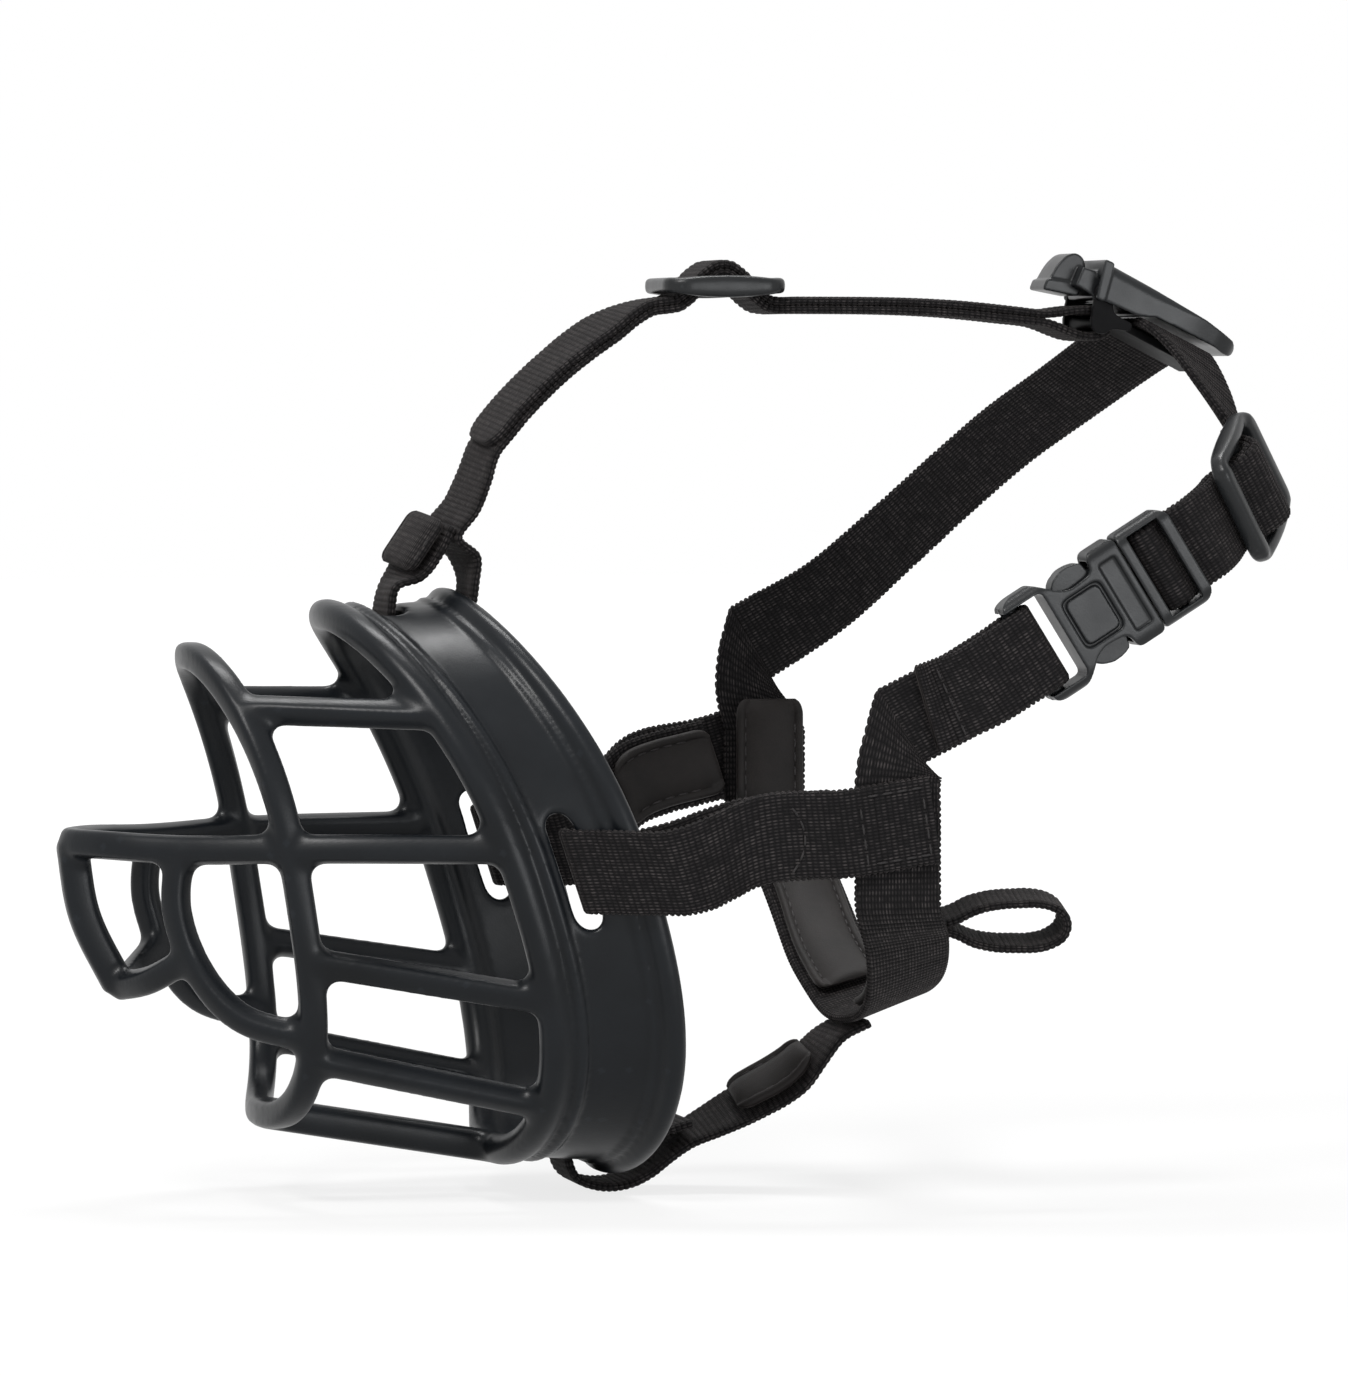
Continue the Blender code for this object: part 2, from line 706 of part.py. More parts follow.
def make_collar_loop(builder):
    """A teardrop of webbing sewn to the rear edge of the near throat strap."""
    root_radius = (LAYER + WEB_THICKNESS) / 2 + LOOP_ROOT_SPARE
    near = [s for s in throat_route() if s.centre.y < 0]
    seat = min(near, key=lambda s: abs(s.centre.z - LOOP_ROOT_Z))
    hinge = seat.centre + seat.half + Vector((root_radius + 2 * CLEARANCE, 0, 0))
    width_way = Vector((0, 0.95, 0.3)).normalized()
    back = Vector((1, 0, 0)) * LOOP_REACH
    up = back.cross(width_way).normalized() * LOOP_HEIGHT / 2
    shape = ((0.02, 0.28), (0.3, 0.75), (0.62, 1.0), (0.9, 0.7), (1.0, 0.0))
    shape = shape + tuple((x, -h) for x, h in reversed(shape[:-1]))
    stations = smooth([place(hinge + back * x + up * h, width_way) for x, h in shape], LOOP_STEP)
    obj = bpy.data.objects.new("collar_loop", ribbon_mesh("collar_loop", stations))
    add_solidify(obj, WEB_THICKNESS)
    root_half = width_way * WEB_WIDTH * 0.49
    root = tube("loop_root", [hinge - root_half, hinge + root_half], root_radius, resolution=3)
    add_boolean(obj, "UNION", builder.tool(root))
    builder.part(obj, "webbing", pivot=hinge)


# Sliders

SLIDER_REACH = SLIDER_LENGTH / 2 - SLIDER_BAR_RADIUS
WEAVE_RADIUS = SLIDER_BAR_RADIUS + CLEARANCE + STACK / 2


class Frame:
    """A piece's own axes and centre."""

    def __init__(self, centre, x, z):
        self.centre = Vector(centre)
        self.x = Vector(x).normalized()
        self.z = (Vector(z) - self.x * Vector(z).dot(self.x)).normalized()
        self.y = self.z.cross(self.x)

    def at(self, x, y, z):
        return self.centre + self.x * x + self.y * y + self.z * z

    def matrix(self):
        found = Matrix((self.x, self.y, self.z)).transposed().to_4x4()
        found.translation = self.centre
        return found


def weave(frame):
    """The webbing's middle over the slider's centre bar and under its end bars."""
    steep = math.asin(2 * WEAVE_RADIUS / SLIDER_REACH)
    half = []
    for angle in (0, steep / 2, steep):
        half.append((-SLIDER_REACH + WEAVE_RADIUS * math.sin(angle), -WEAVE_RADIUS * math.cos(angle)))
    for angle in (steep, steep / 2):
        half.append((-WEAVE_RADIUS * math.sin(angle), WEAVE_RADIUS * math.cos(angle)))
    whole = half + [(0, WEAVE_RADIUS)] + [(-x, z) for x, z in reversed(half)]
    return [place(frame.at(x, 0, z), frame.y) for x, z in whole]


def make_slider(builder, name, frame):
    half_width = WEB_WIDTH / 2 + SIDE_CLEARANCE + SLIDER_BAR_RADIUS
    ring = []
    for sx, sy, start in ((1, 1, 0), (-1, 1, 90), (-1, -1, 180), (1, -1, 270)):
        for k in range(4):
            angle = math.radians(start + 30 * k)
            x = sx * (SLIDER_REACH - SLIDER_CORNER) + SLIDER_CORNER * math.cos(angle)
            y = sy * (half_width - SLIDER_CORNER) + SLIDER_CORNER * math.sin(angle)
            ring.append(frame.at(x, y, 0))
    obj = tube(name, ring, SLIDER_BAR_RADIUS, cyclic=True)
    ends = [frame.at(0, -half_width, 0), frame.at(0, half_width, 0)]
    add_boolean(obj, "UNION", builder.tool(tube(name + "_bar", ends, SLIDER_BAR_RADIUS * 0.95)))
    builder.part(obj, "buckle_plastic", pivot=frame.centre)


# Head strap

HEAD_SLIDER = Frame(mm(36, 0, 107.8), (1, 0, 0), (0, 0, 1))
TOP_LOOP = SlotLoop("top")
TAB = Frame(TOP_LOOP.spot + mm(7.3, 0, 11.4), (0.56, 0, 0.83), (-0.83, 0, 0.56))
CLIP_WAY = (math.cos(CLIP_TILT), 0, -math.sin(CLIP_TILT))
CLIP = Frame(mm(107, 0, 107), CLIP_WAY, (math.sin(CLIP_TILT), 0, math.cos(CLIP_TILT)))
CLIP_BAR = CLIP.at(2.2 * MM, 0, -5.4 * MM)


def head_run():
    """The doubled strap's middle from the tab, through the slider, to the clip."""
    climb = [mm(-7.3, 0, 79.1), mm(-2, 0, 85.6), mm(7.1, 0, 94.3), mm(15.5, 0, 100.4)]
    before = HEAD_SLIDER.at(-SLIDER_REACH - 3.5 * MM, 0, -WEAVE_RADIUS - 0.5 * MM)
    after = HEAD_SLIDER.at(SLIDER_REACH + 4 * MM, 0, -WEAVE_RADIUS)
    level = [after, mm(80, 0, 103.8), mm(96, 0, 102.2)]
    across = HEAD_SLIDER.y
    run = [place(spot, across) for spot in climb + [before]] + weave(HEAD_SLIDER)
    return smooth(run + [place(spot, across) for spot in level])


def make_head_strap(builder):
    loop = TOP_LOOP
    across = HEAD_SLIDER.y
    front = [
        place(TAB.at(TAB_LENGTH / 2, 0, 0), across),
        place(TAB.at(-TAB_LENGTH / 2, 0, 0), across),
        loop.station(loop.edge - 0.8 * MM, SLOT_TURN + 1.6 * MM),
    ]
    rim_bow = REAR_BOW * (WEB_WIDTH / 2 / REAR_HALF_WIDTH) ** 2
    rim_turn = loop.to_rim + FLANGE_RADIUS + rim_bow + 2 * CLEARANCE + WEB_THICKNESS / 2
    rear = [
        loop.station(loop.edge + SLOT_RUN, -INNER_LIE),
        loop.station(loop.to_rim - 1 * MM, -INNER_LIE),
        loop.station(rim_turn - 1.2 * MM, SLOT_EASE - INNER_LIE),
        loop.station(rim_turn, 0),
        loop.station(rim_turn + 1 * MM, FLANGE_TOP + 1 * MM),
        place(loop.spot + mm(15.5, 0, 10.1), across),
        place(TAB.at(TAB_LENGTH / 2 - 1 * MM, 0, -LAYER), across),
        place(TAB.at(TAB_LENGTH / 2 + 5 * MM, 0, -LAYER), across),
    ]
    middle = head_run()
    side = 1 if run_normals(middle)[-1].z > 0 else -1
    lower, upper = shifted(middle, -side * LAYER / 2), shifted(middle, side * LAYER / 2)
    turn = CLIP_BAR_RADIUS + CLEARANCE + WEB_THICKNESS / 2
    bend = arc(CLIP_BAR, Vector((turn, 0, 0)), Vector((0, 0, turn)), -math.pi / 2, math.pi / 2, across, 6)
    route = smooth(front) + loop.turn(160, 250, 4) + smooth(rear + [lower[0]])[:-1]
    builder.strap("head_strap", route + lower + bend + list(reversed(upper)))


def make_head_tab(builder):
    """A crowned patch sewn over the front of the head strap's end."""
    lie = (WEB_THICKNESS + TAB_THICKNESS) / 2 + CLEARANCE
    run = [place(TAB.at(share * TAB_LENGTH / 2, 0, lie), (0, 1, 0)) for share in (-1, -0.3, 0.3, 1)]
    builder.pad("head_tab", run, WEB_WIDTH, TAB_THICKNESS, "webbing")


# Neck strap

NECK_SLIDER = Frame(spread(127.1, -0.7, 71.5), (-0.441, -0.777, -0.45), (0.753, -0.594, 0.288))
BUCKLE_TILT = math.radians(32)
BUCKLE_WAY = (math.cos(BUCKLE_TILT), 0, math.sin(BUCKLE_TILT))
BUCKLE = Frame(spread(101.9, -0.94, 54.6), BUCKLE_WAY, (0, -1, 0))


def make_neck_strap(builder):
    top = Vector((JUNCTION_X, JUNCTION_Y, FAR_JUNCTION_Z + JUNCTION_LIFT + CLEARANCE))
    up_side = [
        place(top, (1, 0, 0)),
        place(top + mm(-1, 0, 6), (0.93, 0, -0.3)),
        place(spread(55.3, 1, 40.8), (0.6, 0, -0.8)),
        place(spread(70.3, 1, 50.3), (0.62, 0.25, -0.68)),
        place(spread(83.6, 0.97, 62.1), (0.64, 0.34, -0.62)),
        place(spread(101.2, 0.82, 79), (0.7, 0.34, -0.58)),
        place(spread(114, 0.52, 91), (0.8, 0.22, -0.5)),
    ]
    for share in (0.95, 0.6, 0, -0.6, -0.95):
        up_side.append(place(CLIP.at(CROWN_X, share * CLIP_WIDTH / 2, CROWN_Z), CLIP.x))
    up_side.append(place(spread(123.4, -0.3, 92.7), (0.8, 0.1, -0.6)))
    up_side.append(place(spread(126, -0.4, 85), (0.64, 0.16, -0.75)))
    before = NECK_SLIDER.at(-SLIDER_REACH - 2 * MM, 0, -WEAVE_RADIUS - CLEARANCE)
    middle = [place(before, NECK_SLIDER.y)] + weave(NECK_SLIDER)
    stack_z = PLUG_LIE - LAYER / 2
    for x in (PLUG_LENGTH + 4 * MM, PLUG_LENGTH, PLUG_LENGTH - PLUG_END_BAR - CLEARANCE):
        middle.append(place(BUCKLE.at(x, 0, stack_z), BUCKLE.y * -1))
    middle = smooth(middle, 4 * MM)
    outward = 1 if run_normals(middle)[-1].dot(BUCKLE.z) > 0 else -1
    outer, inner = shifted(middle, outward * LAYER / 2), shifted(middle, -outward * LAYER / 2)
    turn = PLUG_BAR_RADIUS + CLEARANCE + WEB_THICKNESS / 2
    bend = arc(
        BUCKLE.at(PLUG_BAR_X, 0, PLUG_BAR_Z), BUCKLE.x * turn, BUCKLE.z * turn,
        math.radians(70), math.radians(270), BUCKLE.y * -1, 7,
    )
    route = smooth(up_side + [outer[0]])[:-1] + outer + bend
    builder.strap("neck_strap", route + list(reversed(inner)))


# Near neck strap

SOCKET_BAR_X = BUCKLE_BAR_RADIUS - SOCKET_LENGTH


def make_near_neck_strap(builder):
    """From the near junction through a mitre fold, round the socket's bar and back to a sewn end."""
    start = Vector((JUNCTION_X, -JUNCTION_Y, NEAR_JUNCTION_Z + JUNCTION_LIFT + CLEARANCE))
    turn = BUCKLE_BAR_RADIUS + CLEARANCE + WEB_THICKNESS / 2
    mitre = spread(71.7, -0.986, 36.1)
    outer = smooth([
        place(start, (-1, 0, 0)),
        place(start + mm(0, 0, 7.5), (-1, 0, 0)),
        place(spread(58.6, -1, 27.2), (-0.92, 0, 0.38)),
        place(spread(61.2, -0.998, 31.3), (-0.68, 0, 0.74)),
        place(mitre, BUCKLE.y),
        place(BUCKLE.at(SOCKET_BAR_X - 1 * MM, 0, turn), BUCKLE.y),
    ])
    bend = arc(
        BUCKLE.at(SOCKET_BAR_X, 0, 0), BUCKLE.x * turn, BUCKLE.z * turn,
        math.radians(75), math.radians(-90), BUCKLE.y, 6,
    )
    under = BUCKLE.z * -LAYER
    inner = [bend[-1], place(mitre + under, BUCKLE.y), place(spread(66.5, -0.992, 33.5) + under, BUCKLE.y)]
    builder.strap("near_neck_strap", outer + bend + smooth(inner)[1:])


# Crown clip

def upright_matrix(frame):
    """Turns an outline in x and y so that its y lies along the piece's own z, and its depth along -y."""
    found = Matrix((frame.x, frame.z, frame.y * -1)).transposed().to_4x4()
    found.translation = frame.centre
    return found


def rectangle(x_low, y_low, x_high, y_high):
    return [(x_low, y_low), (x_high, y_low), (x_high, y_high), (x_low, y_high)]


def clip_bar_along(name, centre, half_length, radius):
    return tube(name, [centre - CLIP.y * half_length, centre + CLIP.y * half_length], radius)


def make_clip_base(builder, stand, half):
    """The lower plate, its two ears and the bar that the head strap turns round."""
    top = CROWN_Z - WEB_THICKNESS / 2 - CLEARANCE
    low = top - CLIP_PLATE_THICKNESS
    heel = CLIP_HEEL - CLEARANCE
    bar_low = (CLIP_BAR - CLIP.centre).dot(CLIP.z) - CLIP_BAR_RADIUS - SPARE
    ear = [
        (-2 * MM, 0), (-1.2 * MM, 1.6 * MM), (1.2 * MM, 1.6 * MM), (2 * MM, 0), (3 * MM, top),
        (heel, top), (heel, low), (4 * MM, bar_low), (0.5 * MM, bar_low),
    ]
    start = CLIP_PLATE_START
    plate_half = half - CLIP_PLATE_INSET
    cross_half = half - CLEARANCE
    cross = rectangle(start - 2 * JOIN, low + JOIN, heel - JOIN, top - JOIN)
    base_outline = rectangle(start, low, CLIP_HEEL + WEB_WIDTH, top)
    base = plate("clip_base", base_outline, -plate_half, plate_half, stand)
    pieces = [
        plate("ear_near", ear, half - CLIP_EAR, half, stand),
        plate("ear_far", ear, -half, CLIP_EAR - half, stand),
        plate("cross", cross, -cross_half, cross_half, stand),
        clip_bar_along("clip_bar", CLIP_BAR, half - 5 * JOIN, CLIP_BAR_RADIUS),
    ]
    add_boolean(base, "UNION", builder.group("clip_base_pieces", pieces))
    bore = clip_bar_along("clip_bore", CLIP.centre, half + SPARE, CLIP_PIN_RADIUS + CLEARANCE)
    add_boolean(base, "DIFFERENCE", builder.tool(bore))
    builder.part(base, "buckle_plastic")


def make_clip_lever(builder, stand, half):
    """The wedge over the neck strap, with its knuckle between the ears and its thumb block in front."""
    hub = half - CLIP_EAR - CLEARANCE
    thumb_half = hub - 4 * JOIN
    top = CLIP_TOP
    jaw = CROWN_Z + WEB_THICKNESS / 2 + 2 * CLEARANCE
    jaw_end = CLIP_HEEL + CLIP_JAW_LENGTH
    tip = CLIP_HEEL + WEB_WIDTH + CLIP_LIP
    wedge = [
        (2.6 * MM, top), (2.6 * MM, jaw), (jaw_end, jaw + 2 * JOIN), (jaw_end, 0.4 * MM),
        (tip - 3.4 * MM, 1.2 * MM), (tip - 1 * MM, 0.4 * MM), (tip + 0.6 * MM, 0.7 * MM),
        (tip + 1.4 * MM, 1.6 * MM), (tip, top - 2 * JOIN),
    ]
    knuckle = [
        (-1.6 * MM, top), (-1.6 * MM, -0.9 * MM), (0, -1.7 * MM), (1.6 * MM, -0.9 * MM),
        (3 * MM, jaw + JOIN), (3 * MM, top - JOIN),
    ]
    thumb = [
        (-6.9 * MM, -2.6 * MM), (-6.6 * MM, 2.8 * MM), (-5.2 * MM, 4.2 * MM),
        (-3.4 * MM, 3.7 * MM), (-1.4 * MM, 1.9 * MM), (-1.2 * MM, -1.2 * MM),
    ]
    lever = plate("clip_lever", wedge, -half, half, stand)
    pieces = [
        plate("knuckle", knuckle, -hub, hub, stand),
        plate("thumb", thumb, -thumb_half, thumb_half, stand),
    ]
    add_boolean(lever, "UNION", builder.group("clip_lever_pieces", pieces))
    bore = clip_bar_along("lever_bore", CLIP.centre, half, CLIP_PIN_RADIUS + CLEARANCE)
    add_boolean(lever, "DIFFERENCE", builder.tool(bore))
    builder.part(lever, "buckle_plastic", pivot=CLIP.centre)


def make_clip(builder):
    stand = upright_matrix(CLIP)
    half = CLIP_WIDTH / 2
    make_clip_base(builder, stand, half)
    builder.part(clip_bar_along("clip_pin", CLIP.centre, half, CLIP_PIN_RADIUS), "steel")
    make_clip_lever(builder, stand, half)


# Side-release buckle

def mirrored(outline):
    return outline + [(x, -y) for x, y in reversed(outline)]


def buckle_bar(name, x, z, half_length, radius):
    return tube(name, [BUCKLE.at(x, -half_length, z), BUCKLE.at(x, half_length, z)], radius)


def make_socket(builder):
    """The half with open sides for the prongs. Places along it are shares of its length."""
    stand = BUCKLE.matrix()
    deep = BUCKLE_THICKNESS / 2
    gap = WEB_WIDTH / 2 + SIDE_CLEARANCE
    waist = BUCKLE_MOUTH - BUCKLE_WAIST
    shape = (
        (0, BUCKLE_MOUTH), (0.242, BUCKLE_MOUTH), (0.275, waist + 4 * JOIN), (0.567, waist),
        (0.65, BUCKLE_MOUTH - 8 * JOIN), (0.75, gap + BUCKLE_RAIL), (1, gap + BUCKLE_RAIL),
    )
    outline = mirrored([(-share * SOCKET_LENGTH, y) for share, y in shape])
    socket = plate("buckle_socket", outline, -deep, deep, stand)
    inner_half = BUCKLE_MOUTH - BUCKLE_WALL
    inner_deep = deep - BUCKLE_FACE
    cavity_end = -0.625 * SOCKET_LENGTH
    cavity = block(
        "socket_cavity", (cavity_end, -inner_half, -inner_deep), (SPARE, inner_half, inner_deep), stand,
    )
    notch_start = -0.742 * SOCKET_LENGTH
    notch = block(
        "socket_notch", (-SOCKET_LENGTH - SPARE, -gap, -2 * deep), (notch_start, gap, 2 * deep), stand,
    )
    add_boolean(socket, "DIFFERENCE", builder.group("socket_cuts", [cavity, notch]))
    bar = buckle_bar("socket_bar", SOCKET_BAR_X, 0, gap + SPARE, BUCKLE_BAR_RADIUS)
    add_boolean(socket, "UNION", builder.tool(bar))
    builder.part(socket, "buckle_plastic")


def make_plug(builder):
    """The strap's frame on the other half, with the tongue between the prongs."""
    stand = BUCKLE.matrix()
    deep = BUCKLE_THICKNESS / 2
    gap = WEB_WIDTH / 2 + CLEARANCE
    window_end = PLUG_LENGTH - PLUG_END_BAR
    end_bar_low = PLUG_LIE + WEB_THICKNESS / 2 + CLEARANCE
    under_end = PLUG_LENGTH + SPARE
    plug = block(
        "buckle_plug", (CLEARANCE, -BUCKLE_MOUTH, -deep), (PLUG_LENGTH, BUCKLE_MOUTH, deep), stand,
    )
    cuts = [
        block("plug_window", (PLUG_WALL, -gap, -2 * deep), (window_end, gap, 2 * deep), stand),
        block("plug_under", (PLUG_WALL + SPARE, -gap, -2 * deep), (under_end, gap, end_bar_low), stand),
    ]
    add_boolean(plug, "DIFFERENCE", builder.group("plug_cuts", cuts))
    tongue_end = -0.417 * SOCKET_LENGTH
    joins = [
        block("plug_tongue", (tongue_end, -2.4 * MM, -1.6 * MM), (SPARE, 2.4 * MM, 1.6 * MM), stand),
        buckle_bar("plug_bar", PLUG_BAR_X, PLUG_BAR_Z, gap + SPARE, PLUG_BAR_RADIUS),
    ]
    add_boolean(plug, "UNION", builder.group("plug_joins", joins))
    builder.part(plug, "buckle_plastic", pivot=BUCKLE.centre)


def make_prongs(builder):
    """Two arms with hooked heads: shares of the socket's length, and distances in from its mouth in mm."""
    stand = BUCKLE.matrix()
    thick = BUCKLE_THICKNESS / 2 - BUCKLE_FACE - CLEARANCE
    shape = (
        (0.279, 3.0), (0.292, 0.9), (0.375, 0.3), (0.458, 0.2),
        (0.554, 1.1), (0.604, 2.6), (0.592, 3.8), (0.292, 4.9),
    )
    arm = [(-share * SOCKET_LENGTH, BUCKLE_MOUTH - inset * MM) for share, inset in shape]
    root = []
    for angle in range(0, 181, 45):
        x = PRONG_ROOT_X + PRONG_ROOT_RADIUS * math.sin(math.radians(angle))
        root.append((x, PRONG_ROOT_Y - PRONG_ROOT_RADIUS * math.cos(math.radians(angle))))
    for name, side in (("upper", 1), ("lower", -1)):
        outline = [(x, y * side) for x, y in arm + root]
        prong = plate(f"buckle_prong_{name}", outline, -thick, thick, stand)
        builder.part(prong, "buckle_plastic", pivot=BUCKLE.at(PRONG_ROOT_X, PRONG_ROOT_Y * side, 0))


def main():
    clear_scene()
    builder = Builder()
    make_basket(builder)
    make_cheeks(builder)
    seat, normal, along = make_throat(builder)
    make_chin(builder, seat, normal, along)
    make_collar_loop(builder)
    make_head_strap(builder)
    make_head_tab(builder)
    make_slider(builder, "head_slider", HEAD_SLIDER)
    make_neck_strap(builder)
    make_slider(builder, "neck_slider", NECK_SLIDER)
    make_near_neck_strap(builder)
    make_clip(builder)
    make_socket(builder)
    make_plug(builder)
    make_prongs(builder)


main()
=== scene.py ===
import math
from collections import namedtuple

import bmesh
import bpy
import numpy as np
from mathutils import Matrix, Vector


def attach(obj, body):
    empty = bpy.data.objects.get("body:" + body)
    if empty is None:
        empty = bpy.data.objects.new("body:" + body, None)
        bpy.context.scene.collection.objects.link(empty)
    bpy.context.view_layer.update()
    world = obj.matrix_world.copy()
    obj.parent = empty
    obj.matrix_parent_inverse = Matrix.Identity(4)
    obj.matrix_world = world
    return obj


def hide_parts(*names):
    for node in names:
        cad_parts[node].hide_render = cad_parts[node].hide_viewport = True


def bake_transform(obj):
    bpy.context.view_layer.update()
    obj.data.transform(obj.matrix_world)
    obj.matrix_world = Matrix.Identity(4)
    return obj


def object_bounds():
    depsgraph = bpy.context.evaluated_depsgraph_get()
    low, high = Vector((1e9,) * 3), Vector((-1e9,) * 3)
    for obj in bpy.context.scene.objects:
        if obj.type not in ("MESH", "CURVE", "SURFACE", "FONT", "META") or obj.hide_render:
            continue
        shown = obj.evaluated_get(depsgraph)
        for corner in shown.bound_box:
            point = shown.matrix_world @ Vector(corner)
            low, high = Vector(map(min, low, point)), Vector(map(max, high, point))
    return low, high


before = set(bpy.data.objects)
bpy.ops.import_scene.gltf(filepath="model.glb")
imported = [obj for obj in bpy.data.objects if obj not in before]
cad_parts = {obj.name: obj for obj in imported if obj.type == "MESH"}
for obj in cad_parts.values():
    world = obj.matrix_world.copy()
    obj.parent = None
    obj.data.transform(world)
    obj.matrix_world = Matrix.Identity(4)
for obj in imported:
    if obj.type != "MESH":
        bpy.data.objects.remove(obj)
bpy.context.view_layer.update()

MM = 0.001

# Fits and webbing, as in the part's source
CLEARANCE = 0.3 * MM
SIDE_CLEARANCE = 0.6 * MM
WEB_WIDTH = 16 * MM
WEB_THICKNESS = 1.6 * MM
PAD_WIDTH = 13 * MM
PAD_THICKNESS = 2.6 * MM
PAD_START_X = 24 * MM
TAB_LENGTH = 11 * MM
TAB_THICKNESS = 2.4 * MM
LINING_RISE = 6 * MM
LAYER = WEB_THICKNESS + CLEARANCE
STACK = WEB_THICKNESS + LAYER
PAD_LIE = (WEB_THICKNESS + PAD_THICKNESS) / 2 + CLEARANCE
RUN_STEP = 5 * MM

# Basket
REAR_HALF_WIDTH = 41 * MM
REAR_HALF_HEIGHT = 50 * MM
REAR_BOW = 14 * MM
BAND_LENGTH = 20.5 * MM
NOSE_X = -82.5 * MM
NOSE_Z = 8 * MM
WALL_THICKNESS = 2.2 * MM
FRONT_BEAD_RADIUS = 2.9 * MM
FLANGE_RADIUS = 2.1 * MM
FLANGE_RISE = 1.3 * MM
SLOT_WIDTH = 5 * MM
SLOT_SPARE = 6 * MM
SLOT_PLACE = 0.46
BOTTOM_SLOT_PLACE = 0.62
SIDE_SLOT_Z = 4 * MM
BAR_HALF = 2.4 * MM
HOOP_HALF_WIDE = 2.55 * MM
HOOP_HALF_DEEP = 2.5 * MM
NOSE_HALF_WIDE = 2.7 * MM
KEEL_HALF_WIDE = 3.4 * MM
KEEL_HALF_DEEP = 2.9 * MM
BASKET_FILLET = 1.4 * MM
CORE_VOXEL = 0.5 * MM
SKIN_VOXEL = 0.45 * MM
SMALL_VOXEL = 0.2 * MM

# Junctions, sliders, clip and buckle
JUNCTION_X = 57.5 * MM
JUNCTION_Y = 50 * MM
JUNCTION_LIFT = 2 * MM
NEAR_JUNCTION_Z = 12.3 * MM
FAR_JUNCTION_Z = 22.5 * MM
SLIDER_LENGTH = 22 * MM
SLIDER_BAR_RADIUS = 1.3 * MM
SLIDER_CORNER = 3 * MM
SLIDER_SIDE_EASE = 1.6 * MM
SLIDER_BELLY = 0.75 * MM
SLIDER_FILLET = 0.5 * MM
SLIDER_VOXEL = 0.22 * MM
HEAD_SLIDER_BROAD = 0.2 * MM
NECK_SLIDER_BROAD = 0.55 * MM
CLIP_EAR = 1.4 * MM
CLIP_WIDTH = WEB_WIDTH + 2 * (SIDE_CLEARANCE + CLIP_EAR)
CLIP_TILT = math.radians(27)
CLIP_HEEL = 8 * MM
CLIP_PIN_RADIUS = 1 * MM
THUMB_WIDTH = 9 * MM
CLIP_BAR_RADIUS = 1.2 * MM
CROWN_X = CLIP_HEEL + WEB_WIDTH / 2
CROWN_Z = -1.7 * MM
BUCKLE_THICKNESS = 7 * MM
BUCKLE_FACE = 1.2 * MM
BUCKLE_WALL = 1.5 * MM
BUCKLE_RAIL = 1.7 * MM
BUCKLE_MOUTH = WEB_WIDTH / 2 + CLEARANCE + BUCKLE_WALL
SOCKET_LENGTH = 24 * MM
PLUG_LENGTH = 11 * MM
PLUG_WALL = 2.2 * MM
PLUG_END_BAR = 2.1 * MM
PLUG_BAR_X = 5.7 * MM
PLUG_BAR_Z = -0.3 * MM
PLUG_LIE = -0.1 * MM
BUCKLE_BAR_RADIUS = 1.6 * MM
PLUG_BAR_RADIUS = 1 * MM
SOCKET_BAR_X = BUCKLE_BAR_RADIUS - SOCKET_LENGTH
SLIT_EDGE = -16.2 * MM
LOOP_REACH = 22.5 * MM
LOOP_HEIGHT = 8.2 * MM
LOOP_WIDTH = 11 * MM
LOOP_ROOT_Z = -8.5 * MM
LOOP_STEP = 3 * MM
LOOP_SEAT = Vector((-2.0, 6.2, 1.6)) * MM

# Weave
RIB_PITCH = 1.05 * MM
RIB_STEPS = 4
RIB_HEIGHT = 0.15 * MM
SCALLOP = 0.32 * MM
RIB_VARIES = 0.3
EDGE_VARIES = 0.35
EDGE_WANDER = 0.05 * MM

# Stitches
STITCH_RADIUS = 0.2 * MM
STITCH_LENGTH = 1.9 * MM
STITCH_GAP = 0.8 * MM
THREAD_LIE = WEB_THICKNESS / 2 + 0.05 * MM
PIPING = 0.85 * MM
BOX_SEAM = (1.6 * MM, 13.2 * MM, 6 * MM)
ARC_SEAM_SPOT = 27 * MM
ARC_SEAM_REACH = 6.6 * MM
ARC_SEAM_BOW = -3 * MM
HEM_SEAMS = (1.5 * MM, 4.5 * MM)
HEM_SEAM_REACH = 6.8 * MM
HEM_RISE = 0.55 * MM

# Camera, as found from the photo, and light
PHOTO_TURN = math.radians(13)
PHOTO_RISE = math.radians(2.4)
PHOTO_HEIGHT_PIXELS = 1376
PHOTO_FOCUS_PIXELS = 7700
PHOTO_MIDDLE = (27.64 * MM, 34.91 * MM)
CAMERA_DISTANCE = 1400 * MM
SENSOR = 36
FLOOR_SIZE = 4.0
FLOOR_DROP = 0.4 * MM
FLOOR_GLOW = (0.97, 1.24)
FLOOR_GLOW_REACH = (0.2, 1.1)
FLOOR_GLOW_SHARE = 0.82
WORLD_LIGHT = 0.35
LAMPS = (
    ("key", (-0.6, -0.7, 0.95), (0.42, 0.3), 12, (1, 0.99, 0.98)),
    ("fill", (0.5, -1.15, 0.12), (0.5, 0.3), 4.5, (0.96, 0.98, 1)),
    ("over", (0.05, 0.3, 1.1), (0.5, 0.25), 8, (1, 1, 1)),
)
LAMP_AIM = (30 * MM, 0, 20 * MM)

Hoop = namedtuple("Hoop", "x half_width half_height lean bow upper lower")
Station = namedtuple("Station", "centre half")


def mm(x, y, z):
    return Vector((x, y, z)) * MM


